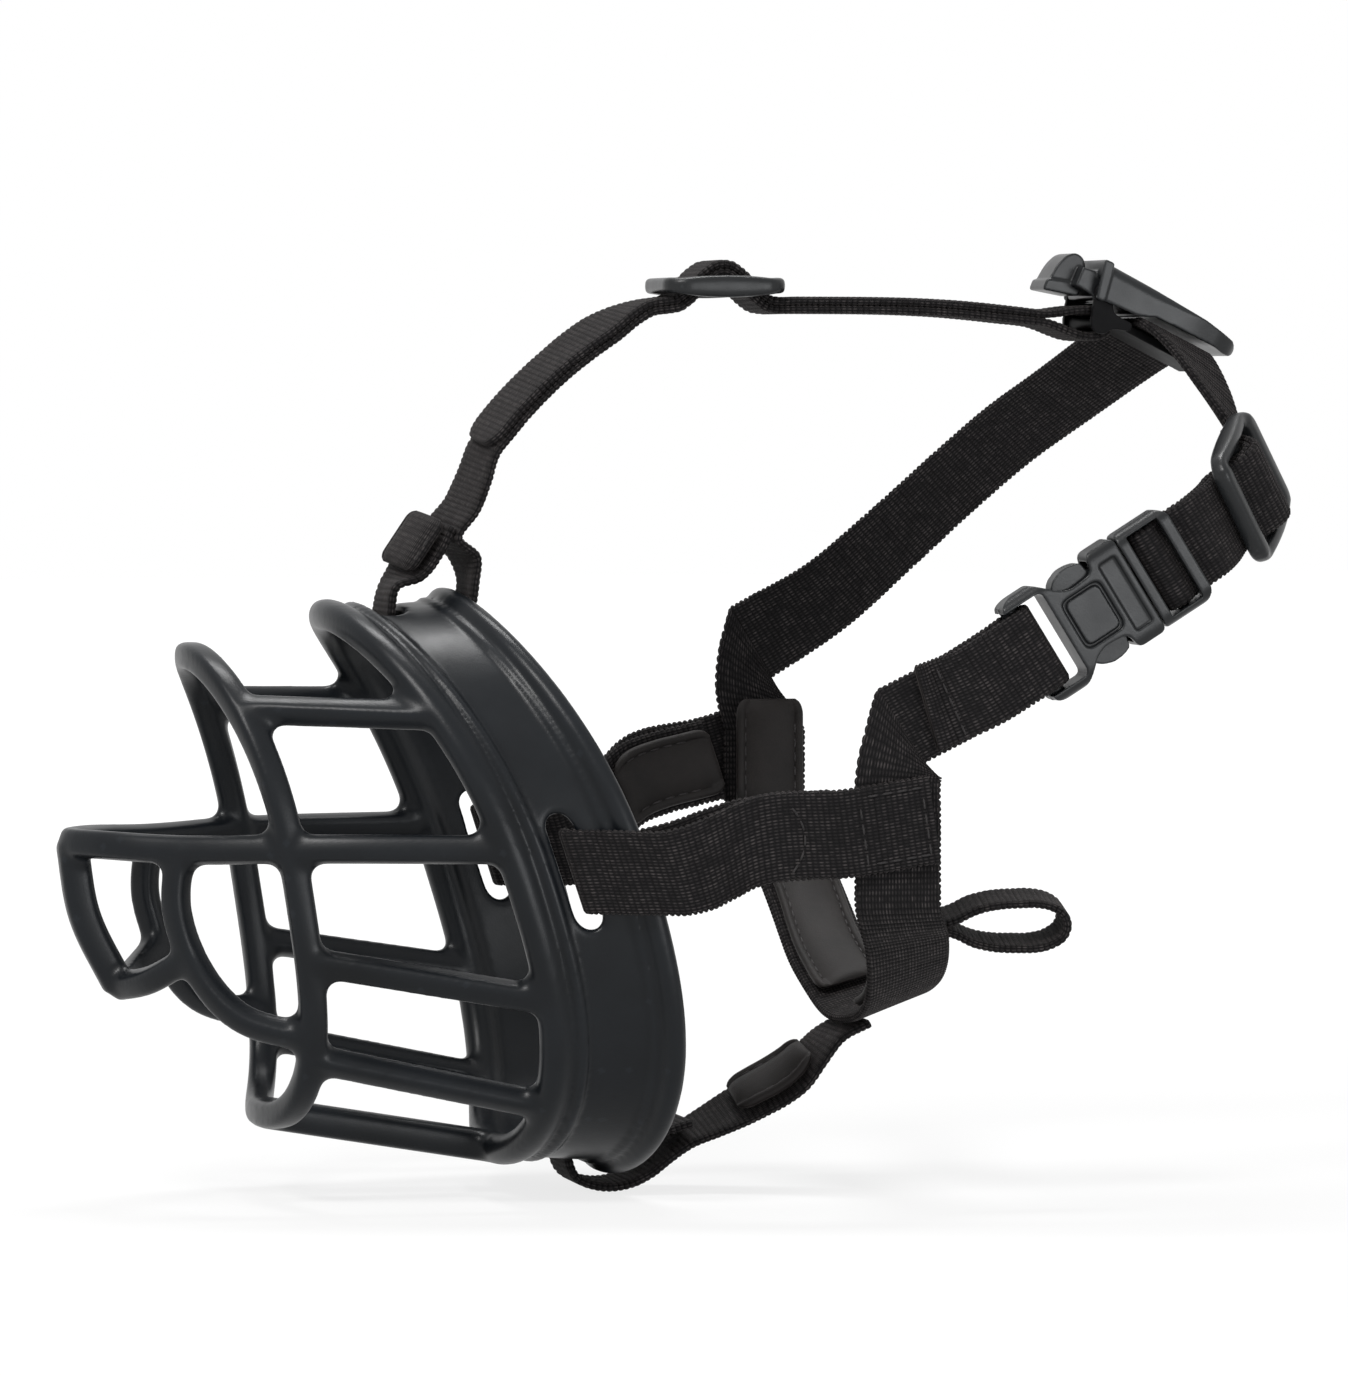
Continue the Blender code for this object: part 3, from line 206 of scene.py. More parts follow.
def spread(x, share, z):
    return Vector((x * MM, share * JUNCTION_Y, z * MM))


# Routes of stations

def hermite(a, b, slope_a, slope_b, t):
    return (
        a * (2 * t**3 - 3 * t**2 + 1)
        + slope_a * (t**3 - 2 * t**2 + t)
        + b * (3 * t**2 - 2 * t**3)
        + slope_b * (t**3 - t**2)
    )


def slopes(values, gaps):
    last = len(values) - 1
    found = []
    for i in range(last + 1):
        before = (values[i] - values[i - 1]) / gaps[i - 1] if i else None
        after = (values[i + 1] - values[i]) / gaps[i] if i < last else None
        if before is None or after is None:
            found.append(before or after)
        else:
            found.append((before * gaps[i] + after * gaps[i - 1]) / (gaps[i] + gaps[i - 1]))
    return found


def smooth_points(points, step):
    flat = Vector((1, 0, 0))
    return [s.centre for s in smooth([Station(point, flat) for point in points], step)]


def smooth(stations, step=RUN_STEP):
    centres = [s.centre for s in stations]
    gaps = [(b - a).length for a, b in zip(centres, centres[1:])]
    rates = slopes(centres, gaps)
    turns = slopes([s.half for s in stations], gaps)
    found = [stations[0]]
    for i, gap in enumerate(gaps):
        first, second = stations[i], stations[i + 1]
        count = max(1, round(gap / step))
        for k in range(1, count + 1):
            t = k / count
            centre = hermite(first.centre, second.centre, rates[i] * gap, rates[i + 1] * gap, t)
            half = hermite(first.half, second.half, turns[i] * gap, turns[i + 1] * gap, t)
            length = first.half.length * (1 - t) + second.half.length * t
            found.append(Station(centre, half.normalized() * length))
    return found


def place(centre, width_way, width=WEB_WIDTH):
    return Station(Vector(centre), Vector(width_way).normalized() * width / 2)


def run_normals(stations):
    last = len(stations) - 1
    found = []
    for i, station in enumerate(stations):
        ahead = stations[min(i + 1, last)].centre - stations[max(i - 1, 0)].centre
        found.append(ahead.cross(station.half).normalized())
    return found


def shifted(stations, distance):
    normals = run_normals(stations)
    return [Station(s.centre + n * distance, s.half) for s, n in zip(stations, normals)]


def arc(centre, start, normal_start, angle_from, angle_to, width_way, count):
    found = []
    for k in range(count + 1):
        angle = angle_from + (angle_to - angle_from) * k / count
        found.append(place(centre + start * math.cos(angle) + normal_start * math.sin(angle), width_way))
    return found


# Basket hoops

REAR_RIM = Hoop(0, REAR_HALF_WIDTH, REAR_HALF_HEIGHT, 0.281, REAR_BOW, 2.15, 2.6)
FRONT_RIM = Hoop(-BAND_LENGTH, 38.5 * MM, 48.5 * MM, 0.313, 13 * MM, 2.3, 2.6)
MIDDLE_HOOP = Hoop(-54.2 * MM, 28 * MM, 41.3 * MM, 0.156, 8 * MM, 2.4, 3.2)


def hoop_spot(hoop, y, z):
    return Vector((hoop.x - hoop.lean * z + hoop.bow * (y / hoop.half_width) ** 2, y, z))


def hoop_point(hoop, angle):
    power = hoop.upper if math.cos(angle) >= 0 else hoop.lower
    across = math.copysign(abs(math.sin(angle)) ** (2 / power), math.sin(angle))
    up = math.copysign(abs(math.cos(angle)) ** (2 / power), math.cos(angle))
    return hoop_spot(hoop, -hoop.half_width * across, hoop.half_height * up)


def hoop_at_height(hoop, z, side):
    power = hoop.upper if z >= 0 else hoop.lower
    share = min(1.0, abs(z) / hoop.half_height)
    return hoop_spot(hoop, side * hoop.half_width * (1 - share**power) ** (1 / power), z)


def band_frame(share, side=None, z=0.0, top=0):
    def rim(hoop, nudge):
        if top:
            return hoop_point(hoop, nudge if top > 0 else math.pi + nudge)
        return hoop_at_height(hoop, z + nudge * hoop.half_height, side)

    small = 0.01
    spot = rim(FRONT_RIM, 0).lerp(rim(REAR_RIM, 0), share)
    rearward = (rim(REAR_RIM, 0) - rim(FRONT_RIM, 0)).normalized()
    along = rim(FRONT_RIM, small).lerp(rim(REAR_RIM, small), share)
    along = (along - rim(FRONT_RIM, -small).lerp(rim(REAR_RIM, -small), share)).normalized()
    outward = rearward.cross(along).normalized()
    if outward.dot(Vector((0, spot.y, spot.z))) < 0:
        outward.negate()
    return spot, rearward, outward, along


SLOTS = {
    "near": dict(share=SLOT_PLACE, side=-1, z=SIDE_SLOT_Z),
    "far": dict(share=SLOT_PLACE, side=1, z=SIDE_SLOT_Z),
    "top": dict(share=SLOT_PLACE, top=1),
    "bottom": dict(share=BOTTOM_SLOT_PLACE, top=-1),
}
WEB_SAG = (WEB_WIDTH / 2) ** 2 / (2 * REAR_HALF_WIDTH)
SLOT_TURN = (WALL_THICKNESS + WEB_SAG + WEB_THICKNESS) / 2 + 2 * CLEARANCE
SLOT_EASE = 0.6 * MM
SLOT_RUN = 3 * MM
INNER_LIE = WALL_THICKNESS / 2 + WEB_SAG + 2 * CLEARANCE + WEB_THICKNESS / 2
FLANGE_TOP = FLANGE_RISE + FLANGE_RADIUS
RIM_CLEAR = FLANGE_TOP + 2 * CLEARANCE + WEB_THICKNESS / 2


class SlotLoop:
    """Places on the band near one slot, in distances rearward and outward of it."""

    def __init__(self, name):
        self.spot, self.rearward, self.outward, self.width_way = band_frame(**SLOTS[name])
        if self.width_way.z + self.width_way.y < 0:
            self.width_way.negate()
        self.to_rim = (1 - SLOTS[name]["share"]) * BAND_LENGTH
        self.edge = SLOT_WIDTH / 2

    def at(self, rearward, outward):
        return self.spot + self.rearward * rearward + self.outward * outward

    def station(self, rearward, outward):
        return place(self.at(rearward, outward), self.width_way)

    def turn(self, angle_from, angle_to, count):
        centre = self.at(self.edge + SLOT_EASE, -WEB_SAG / 2)
        ways = (self.rearward * SLOT_TURN, self.outward * SLOT_TURN)
        return arc(centre, *ways, math.radians(angle_from), math.radians(angle_to), self.width_way, count)


class Frame:
    """A piece's own axes and centre."""

    def __init__(self, centre, x, z):
        self.centre = Vector(centre)
        self.x = Vector(x).normalized()
        self.z = (Vector(z) - self.x * Vector(z).dot(self.x)).normalized()
        self.y = self.z.cross(self.x)

    def at(self, x, y, z):
        return self.centre + self.x * x + self.y * y + self.z * z

    def matrix(self):
        found = Matrix((self.x, self.y, self.z)).transposed().to_4x4()
        found.translation = self.centre
        return found

    def upright(self):
        """Turns an outline in x and y so that its y lies along the piece's own z."""
        found = Matrix((self.x, self.z, self.y * -1)).transposed().to_4x4()
        found.translation = self.centre
        return found


SLIDER_REACH = SLIDER_LENGTH / 2 - SLIDER_BAR_RADIUS
WEAVE_RADIUS = SLIDER_BAR_RADIUS + CLEARANCE + STACK / 2
HEAD_SLIDER = Frame(mm(36, 0, 107.8), (1, 0, 0), (0, 0, 1))
TOP_LOOP = SlotLoop("top")
TAB = Frame(TOP_LOOP.spot + mm(7.3, 0, 11.4), (0.56, 0, 0.83), (-0.83, 0, 0.56))
TAB_ROLL = Vector((0, 1, 0)) * 0.978 + TAB.z * 0.208
HEAD_ROLL = (-0.11, 0.985, 0.13)
LAYER_LIE = 0.76 * MM
CLIP_WAY = (math.cos(CLIP_TILT), 0, -math.sin(CLIP_TILT))
CLIP = Frame(mm(107, 0, 107), CLIP_WAY, (math.sin(CLIP_TILT), 0, math.cos(CLIP_TILT)))
CLIP_BAR = CLIP.at(2.2 * MM, 0, -5.4 * MM)
NECK_SLIDER = Frame(spread(127.1, -0.7, 71.5), (-0.441, -0.777, -0.45), (0.753, -0.594, 0.288))
BUCKLE_TILT = math.radians(32)
BUCKLE = Frame(spread(101.9, -0.94, 54.6), (math.cos(BUCKLE_TILT), 0, math.sin(BUCKLE_TILT)), (0, -1, 0))


def weave(frame_of):
    """The webbing's middle over a slider's centre bar and under its end bars."""
    steep = math.asin(2 * WEAVE_RADIUS / SLIDER_REACH)
    half = []
    for angle in (0, steep / 2, steep):
        half.append((-SLIDER_REACH + WEAVE_RADIUS * math.sin(angle), -WEAVE_RADIUS * math.cos(angle)))
    for angle in (steep, steep / 2):
        half.append((-WEAVE_RADIUS * math.sin(angle), WEAVE_RADIUS * math.cos(angle)))
    whole = half + [(0, WEAVE_RADIUS)] + [(-x, z) for x, z in reversed(half)]
    return [place(frame_of.at(x, 0, z), frame_of.y) for x, z in whole]


def cheek_route(name, side, junction_z, middle):
    loop = SlotLoop(name)
    junction = Vector((JUNCTION_X, side * JUNCTION_Y, junction_z))
    out = Vector((0, side, 0))
    rise = math.atan2(junction_z - loop.spot.z, JUNCTION_X - loop.spot.x)
    back = Vector((math.cos(rise), 0, math.sin(rise)))
    upright = Vector((-math.sin(rise), 0, math.cos(rise)))
    route = [place(junction + back * (WEB_WIDTH / 2 - 1.8 * MM) + out * LAYER, upright)]
    route += [place(junction - back * WEB_WIDTH * 0.56 + out * LAYER, upright)]
    route += smooth([
        place(middle + out * LAYER, upright),
        loop.station(loop.to_rim + 7 * MM, RIM_CLEAR + SLOT_EASE),
        loop.station(loop.to_rim, RIM_CLEAR),
        loop.station(loop.edge + SLOT_RUN, SLOT_TURN),
    ])
    route += loop.turn(105, 255, 6)
    inner = smooth([
        loop.station(loop.edge + SLOT_RUN, -INNER_LIE),
        loop.station(loop.to_rim + 4 * MM, -INNER_LIE),
        place(middle - out * LAYER, upright),
        place(junction - back * WEB_WIDTH * 0.69 - out * LAYER, upright),
    ])
    return route + inner, inner


def throat_route():
    near_top = Vector((JUNCTION_X, -JUNCTION_Y, NEAR_JUNCTION_Z + JUNCTION_LIFT))
    far_top = Vector((JUNCTION_X, JUNCTION_Y, FAR_JUNCTION_Z + JUNCTION_LIFT))
    drop = Vector((0, 0, WEB_WIDTH / 2 + 5 * MM))
    flat = (1, 0, 0)
    return smooth([
        place(near_top, flat),
        place(near_top - drop, flat),
        place(near_top - drop * 1.25, flat),
        place(spread(61, -0.86, -9), (0.98, 0.05, 0.15)),
        place(spread(64, -0.56, -19.5), (0.93, 0, 0.35)),
        place(spread(63, -0.18, -23), (0.94, 0, 0.3)),
        place(spread(61.5, 0.3, -16), (0.96, 0.1, 0.2)),
        place(spread(60.5, 0.72, -2.5), (0.97, 0.15, 0.1)),
        place(far_top - drop * 1.25, flat),
        place(far_top - drop, flat),
        place(far_top, flat),
    ])


def throat_pads(route):
    lowest = min(range(len(route)), key=lambda i: route[i].centre.z)
    inward = 1 if run_normals(route)[0].y > 0 else -1
    lined = shifted(route, inward * PAD_LIE)
    raised = shifted(route, inward * (PAD_LIE + LAYER))
    under = 4
    near = raised[:under] + lined[under:lowest - 1]
    far = lined[lowest + 2:-under] + raised[-under:]
    over = Vector((0, 0, LINING_RISE))
    near = [Station(near[0].centre + over, near[0].half)] + near
    far = far + [Station(far[-1].centre + over, far[-1].half)]
    return near, far, lowest


def chin_spot(x, y, rise):
    return mm(x, y, rise) - Vector((0, 0, REAR_HALF_HEIGHT))


def chin_routes(throat, lowest):
    loop = SlotLoop("bottom")
    seat, normal = throat[lowest], run_normals(throat)[lowest]
    along = throat[lowest + 1].centre - throat[lowest - 1].centre
    if normal.z > 0:
        normal = -normal
    end = seat.centre + normal * LAYER
    forward = seat.half.normalized() * -1
    flat = (0, 1, 0)
    tilt = (0, 0.95, 0.3)
    inside = [
        place(chin_spot(30, 0, 5.6), flat),
        place(chin_spot(24, 0, 4), flat),
        loop.station(loop.to_rim + 3 * MM, -INNER_LIE),
        loop.station(loop.edge + SLOT_RUN, -INNER_LIE),
    ]
    outside = [
        loop.station(loop.edge - 0.4 * MM, SLOT_TURN + 1.2 * MM),
        loop.station(loop.edge + 4 * MM, 5.6 * MM),
        loop.station(loop.to_rim + 4 * MM, 5 * MM),
        place(chin_spot(30, 0, 2.5), (0, 1, 0.1)),
    ]
    sole = [
        place(chin_spot(40, -2, 8), tilt),
        place(chin_spot(50.5, -5.5, 14.8), tilt),
        place(end + forward * WEB_WIDTH * 0.55 - mm(0, 0, 1.2), along),
        place(end + forward * 3 * MM, along),
    ]
    strap = smooth(inside) + loop.turn(250, 160, 3) + smooth(outside + sole)
    lining = [s for s in smooth(sole[:3]) if s.centre.x < end.x - WEB_WIDTH * 0.62]
    side = 1 if run_normals(lining)[0].z > 0 else -1
    return strap, shifted(lining, side * PAD_LIE)


def collar_loop_route():
    root_radius = (LAYER + WEB_THICKNESS) / 2 + 0.2 * MM
    near = [s for s in throat_route() if s.centre.y < 0]
    seat = min(near, key=lambda s: abs(s.centre.z - LOOP_ROOT_Z))
    hinge = seat.centre + seat.half + Vector((root_radius + 2 * CLEARANCE, 0, 0))
    width_way = Vector((0.12, 0.98, 0.16)).normalized()
    back = Vector((1, 0, 0)) * LOOP_REACH
    up = back.cross(width_way).normalized() * LOOP_HEIGHT / 2
    shape = ((0.0, 0.2), (0.06, 0.29), (0.24, 0.74), (0.6, 1.0), (0.87, 0.84), (0.975, 0.44), (1.0, 0.0))
    shape = shape + tuple((x, -h) for x, h in reversed(shape[:-1]))
    root = hinge + LOOP_SEAT
    return smooth([place(root + back * x + up * h, width_way) for x, h in shape], LOOP_STEP)


def head_run():
    climb = [mm(-7.3, 0, 79.1), mm(-2, 0, 85.6), mm(7.1, 0, 94.3), mm(15.5, 0, 100.4)]
    before = HEAD_SLIDER.at(-SLIDER_REACH - 3.5 * MM, 0, -WEAVE_RADIUS - 0.5 * MM)
    after = HEAD_SLIDER.at(SLIDER_REACH + 4 * MM, 0, -WEAVE_RADIUS)
    level = [after, mm(80, 0, 103.8), mm(96, 0, 102.2)]
    across = HEAD_SLIDER.y
    run = [place(spot, HEAD_ROLL) for spot in climb] + [place(before, across)] + weave(HEAD_SLIDER)
    return smooth(run + [place(spot, across) for spot in level])


def nearest(stations, spot):
    return min(range(len(stations)), key=lambda i: (stations[i].centre - spot).length)


def head_routes():
    """The head strap in three runs that meet over the slider's centre bar."""
    loop = TOP_LOOP
    across = HEAD_SLIDER.y
    front = [
        place(TAB.at(TAB_LENGTH / 2, 0, 0), TAB_ROLL),
        place(TAB.at(-TAB_LENGTH / 2, 0, 0), TAB_ROLL),
        loop.station(loop.edge - 0.8 * MM, SLOT_TURN + 1.6 * MM),
    ]
    rim_bow = REAR_BOW * (WEB_WIDTH / 2 / REAR_HALF_WIDTH) ** 2
    rim_turn = loop.to_rim + FLANGE_RADIUS + rim_bow + 2 * CLEARANCE + WEB_THICKNESS / 2
    rear = [
        loop.station(loop.edge + SLOT_RUN, -INNER_LIE),
        loop.station(loop.to_rim - 1 * MM, -INNER_LIE),
        loop.station(rim_turn - 1.2 * MM, SLOT_EASE - INNER_LIE),
        loop.station(rim_turn, 0),
        loop.station(rim_turn + 1 * MM, FLANGE_TOP + 1 * MM),
        place(loop.spot + mm(15.2, 0, 9.4), (-0.13, 0.99, 0)),
        place(TAB.at(TAB_LENGTH / 2 - 1 * MM, 0, -LAYER), TAB_ROLL),
        place(TAB.at(TAB_LENGTH / 2 + 5 * MM, 0, -LAYER), TAB_ROLL),
    ]
    middle = head_run()
    side = 1 if run_normals(middle)[-1].z > 0 else -1
    lower, upper = shifted(middle, -side * LAYER_LIE), shifted(middle, side * LAYER_LIE)
    turn = CLIP_BAR_RADIUS + CLEARANCE + WEB_THICKNESS / 2
    bend = arc(CLIP_BAR, Vector((turn, 0, 0)), Vector((0, 0, turn)), -math.pi / 2, math.pi / 2, across, 6)
    start = smooth(front) + loop.turn(160, 250, 4) + smooth(rear + [lower[0]])[:-1]
    top = nearest(middle, HEAD_SLIDER.at(0, 0, WEAVE_RADIUS))
    return {
        "front": start + lower[:top + 1],
        "rear": lower[top:] + bend + list(reversed(upper[top:])),
        "tail": list(reversed(upper[:top + 1])),
    }


def neck_routes():
    """The neck strap in four runs: over the crown to the slider, and in and out of the slider."""
    top = Vector((JUNCTION_X, JUNCTION_Y, FAR_JUNCTION_Z + JUNCTION_LIFT))
    fold = place(spread(54.8, 1, 41), (0.52, 0, -0.855))
    stem = smooth([
        place(top, (1, 0, 0)),
        place(top + mm(-1.6, 0, 4.5), (0.98, 0, -0.15)),
        place(spread(55, 1, 34.5), (0.84, 0, -0.52), WEB_WIDTH * 0.88),
        fold,
    ])
    up_side = [
        fold,
        place(spread(70.3, 1, 50.3), (0.62, 0.25, -0.68)),
        place(spread(83.6, 0.97, 62.1), (0.64, 0.34, -0.62)),
        place(spread(101.2, 0.82, 79), (0.7, 0.34, -0.58)),
        place(spread(114, 0.52, 91), (0.8, 0.22, -0.5)),
    ]
    for share in (0.95, 0.6, 0, -0.6, -0.95):
        up_side.append(place(CLIP.at(CROWN_X, share * CLIP_WIDTH / 2, CROWN_Z), CLIP.x))
    up_side.append(place(spread(123.4, -0.3, 92.7), (0.8, 0.1, -0.6)))
    up_side.append(place(spread(126, -0.4, 85), (0.64, 0.16, -0.75)))
    before = NECK_SLIDER.at(-SLIDER_REACH - 2 * MM, 0, -WEAVE_RADIUS - CLEARANCE)
    middle = [place(before, NECK_SLIDER.y)] + weave(NECK_SLIDER)
    stack_z = PLUG_LIE - LAYER / 2
    for x in (PLUG_LENGTH + 4 * MM, PLUG_LENGTH, PLUG_LENGTH - PLUG_END_BAR - CLEARANCE):
        middle.append(place(BUCKLE.at(x, 0, stack_z), BUCKLE.y * -1))
    middle = smooth(middle, 4 * MM)
    outward = 1 if run_normals(middle)[-1].dot(BUCKLE.z) > 0 else -1
    outer, inner = shifted(middle, outward * LAYER_LIE), shifted(middle, -outward * LAYER_LIE)
    turn = PLUG_BAR_RADIUS + CLEARANCE + WEB_THICKNESS / 2
    bend = arc(
        BUCKLE.at(PLUG_BAR_X, 0, PLUG_BAR_Z), BUCKLE.x * turn, BUCKLE.z * turn,
        math.radians(70), math.radians(270), BUCKLE.y * -1, 7,
    )
    crown = smooth(up_side + [outer[0]])
    peak = nearest(middle, NECK_SLIDER.at(0, 0, WEAVE_RADIUS))
    return {
        "stem": stem,
        "crown": crown,
        "slider": outer[:peak + 1],
        "buckle": outer[peak:] + bend + list(reversed(inner[peak:])),
        "tail": list(reversed(inner[:peak + 1])),
    }


def near_neck_routes():
    """The near neck strap: a stem up from the junction, and the run that folds round the buckle."""
    start = Vector((JUNCTION_X, -JUNCTION_Y, NEAR_JUNCTION_Z + JUNCTION_LIFT))
    turn = BUCKLE_BAR_RADIUS + CLEARANCE + WEB_THICKNESS / 2
    mitre = spread(71.7, -0.986, 36.1)
    fold = spread(58.4, -0.992, 29.4)
    under = BUCKLE.z * -LAYER
    hem = place(spread(62.8, -0.99, 32.7), (-0.28, 0, 0.96))
    outer = smooth([
        hem,
        place(mitre, BUCKLE.y),
        place(BUCKLE.at(SOCKET_BAR_X - 1 * MM, 0, turn), BUCKLE.y),
    ])
    bend = arc(
        BUCKLE.at(SOCKET_BAR_X, 0, 0), BUCKLE.x * turn, BUCKLE.z * turn,
        math.radians(75), math.radians(-90), BUCKLE.y, 6,
    )
    inner = [bend[-1], place(mitre + under, BUCKLE.y), place(fold + under, BUCKLE.y)]
    stem = smooth([
        place(start, (-1, 0, 0)),
        place(start + mm(0, 0, 5.5), (-1, 0, 0)),
        place(spread(58.3, -0.985, 24.5), (-0.86, 0, 0.5), WEB_WIDTH * 0.92),
        place(fold + under, BUCKLE.y),
    ])
    return outer + bend + smooth(inner)[1:], stem


# Mesh tools

def new_object(name, data):
    obj = bpy.data.objects.new(name, data)
    bpy.context.scene.collection.objects.link(obj)
    return obj


def drop(*objects):
    for obj in objects:
        mesh = obj.data
        bpy.data.objects.remove(obj)
        if mesh.users == 0:
            bpy.data.meshes.remove(mesh)


def shade(obj, angle=40):
    obj.data.shade_smooth()
    obj.data.set_sharp_from_angle(angle=math.radians(angle))
    return obj


def settle(obj):
    """Turns the modifiers' result into the object's own mesh."""
    bpy.context.view_layer.update()
    graph = bpy.context.evaluated_depsgraph_get()
    mesh = bpy.data.meshes.new_from_object(obj.evaluated_get(graph))
    obj.modifiers.clear()
    old = obj.data
    obj.data = mesh
    bpy.data.meshes.remove(old)
    return obj


def lengths_along(points):
    """Distance from the first point to each."""
    return np.concatenate([[0], np.cumsum(np.linalg.norm(np.diff(points, axis=0), axis=1))])


def read_off(spots, along, values):
    """Rows of values read off at distances along a line."""
    return np.stack([np.interp(spots, along, values[:, i]) for i in range(3)], -1)


def fine_run(stations, pitch, parts=1):
    """Evenly spaced centres, width ways and lifts along a smooth curve, and their distances."""
    kept = [stations[0]]
    for station in stations[1:]:
        if (station.centre - kept[-1].centre).length > 0.25 * MM:
            kept.append(station)
    dense = smooth(kept, 0.6 * MM)
    centres = np.array([s.centre for s in dense])
    halves = np.array([s.half.normalized() for s in dense])
    along = lengths_along(centres)
    count = parts * max(4, round(along[-1] / pitch))
    spots = np.linspace(0, along[-1], count + 1)
    run = read_off(spots, along, centres)
    ways = read_off(spots, along, halves)
    ahead = np.gradient(run, axis=0)
    ahead /= np.linalg.norm(ahead, axis=1, keepdims=True)
    ways /= np.linalg.norm(ways, axis=1, keepdims=True)
    lifts = np.cross(ahead, ways)
    lifts /= np.linalg.norm(lifts, axis=1, keepdims=True)
    return run, ways, lifts, spots


def face_out(mesh):
    """Turns all faces outward."""
    bm = bmesh.new()
    bm.from_mesh(mesh)
    bmesh.ops.recalc_face_normals(bm, faces=bm.faces)
    bm.to_mesh(mesh)
    bm.free()


def swept(name, run, ways, lifts, spots, across, lift, girth):
    """A closed skin over a run: across and lift place each section's points, girth measures round it."""
    points = run[:, None, :] + ways[:, None, :] * across[:, :, None]
    points = points + lifts[:, None, :] * lift[:, :, None]
    rows, columns = across.shape
    index = np.arange(rows * columns).reshape(rows, columns)
    following = np.roll(index, -1, axis=1)
    quads = np.stack([index[:-1], following[:-1], following[1:], index[1:]], -1).reshape(-1, 4)
    faces = quads.tolist() + [index[0][::-1].tolist(), index[-1].tolist()]
    mesh = bpy.data.meshes.new(name)
    mesh.from_pydata(points.reshape(-1, 3).tolist(), [], faces)
    layer = mesh.uv_layers.new(name="weave")
    round_end = np.append(girth[1:], girth[-1] + (girth[1] - girth[0]))
    u = np.broadcast_to(np.stack([girth, round_end, round_end, girth], -1), (rows - 1, columns, 4))
    v = np.stack([spots[:-1], spots[:-1], spots[1:], spots[1:]], -1)[:, None, :]
    v = np.broadcast_to(v, (rows - 1, columns, 4))
    sides = np.stack([u, v], -1).reshape(-1, 2) / MM
    ends = np.zeros((2 * columns, 2))
    layer.data.foreach_set("uv", np.concatenate([sides, ends]).astype(np.float32).ravel())
    mesh.validate()
    face_out(mesh)
    return new_object(name, mesh)


# Stitching

SEAMS = []


def askew(path):
    """Points beside a path, for round bars that have no flat side."""
    return path - np.array((0.31, 0.47, 0.83))


def stitch_lines(lines):
    """Short rounded stitches laid end to end along lines of points."""
    pace = STITCH_LENGTH + STITCH_GAP
    share = np.linspace(0, 1, 6)
    radius = STITCH_RADIUS * np.sqrt(np.clip(1 - (0.97 * (2 * share - 1)) ** 6, 0.05, 1))
    shells = []
    for line in lines:
        points = np.array(line)
        along = lengths_along(points)
        for k in range(int((along[-1] + STITCH_GAP) / pace)):
            path = read_off(k * pace + STITCH_LENGTH * share, along, points)
            shells.append(bar(path, radius, radius, askew, power=2, count=7))
    return shells


def on_face(way, at, aside, rise):
    """A point on a strap's face, off its middle, at a distance along it."""
    run, ways, lifts, spots = way
    middle, across, up = (read_off(at, spots, values) for values in (run, ways, lifts))
    return middle + across * aside + up * rise


def cross_line(way, spot, reach, rise, bow=0.0):
    """Points of a seam across a strap, bowed along it."""
    shares = np.linspace(-1, 1, 25)
    return [on_face(way, spot + bow * (1 - share**2), share * reach, rise) for share in shares]


def edge_line(way, first, last, aside, rise):
    """Points of a seam along a strap."""
    return [on_face(way, at, aside, rise) for at in np.linspace(first, last, 60)]


def box_seam(way, first, last, reach, rise):
    lines = [cross_line(way, spot, reach, rise) for spot in (first, last)]
    return lines + [edge_line(way, first, last, side * reach, rise) for side in (-1, 1)]


def web_section():
    """Share of the half width, share of the half thickness, and distance round, of a flat section."""
    flat = np.linspace(-0.9, 0.9, 9)
    across = np.concatenate([flat, [0.965, 1.0, 0.965], flat[::-1], [-0.965, -1.0, -0.965]])
    lift = np.concatenate([np.ones(9), [0.72, 0, -0.72], -np.ones(9), [-0.72, 0, 0.72]])
    steps = np.hypot(np.diff(across) * WEB_WIDTH / 2, np.diff(lift) * WEB_THICKNESS / 2)
    return across, lift, np.concatenate([[0], np.cumsum(steps)])


def webbing(name, stations, seed, width=WEB_WIDTH, thickness=WEB_THICKNESS, corner=0.0):
    """Ribbed tape with looped edges along a route, its last corners rounded."""
    run, ways, lifts, spots = fine_run(stations, RIB_PITCH, RIB_STEPS)
    across, lift, girth = web_section()
    draws = np.random.default_rng(seed)
    number = np.arange(len(spots)) // RIB_STEPS
    ribs = number[-1] + 1
    swell = np.abs(np.sin(np.pi * np.arange(len(spots)) / RIB_STEPS)) ** 0.8
    height = 1 + RIB_VARIES * draws.standard_normal(ribs).clip(-1, 1)[number]
    reach = 1 + EDGE_VARIES * draws.standard_normal(ribs).clip(-1.2, 1.2)[number]
    half_thick = thickness / 2 - RIB_HEIGHT * (1 - swell) * height
    half_wide = width / 2 - SCALLOP * (1 - swell) * reach
    waves = 2 * np.pi * draws.random(3)
    sideways = sum(np.sin(spots / (wave * MM) + turn) for wave, turn in zip((11, 6.1, 3.3), waves))
    sideways *= EDGE_WANDER * np.abs(np.sin(np.pi * spots / spots[-1]))
    pulled = np.abs(across) > 0.93
    wide = np.where(pulled[None, :], half_wide[:, None], width / 2) * across[None, :]
    wide = wide + sideways[:, None]
    if corner:
        into = np.clip((spots[-1] - spots) / corner, 0, 1)
        wide *= (1 - (1 - np.sqrt(1 - (1 - into) ** 2)) * 2 * corner / width)[:, None]
    thick = half_thick[:, None] * lift[None, :]
    along = np.arange(len(spots)) * RIB_PITCH / RIB_STEPS
    return shade(swept(name, run, ways, lifts, along, wide, thick, girth), 60)


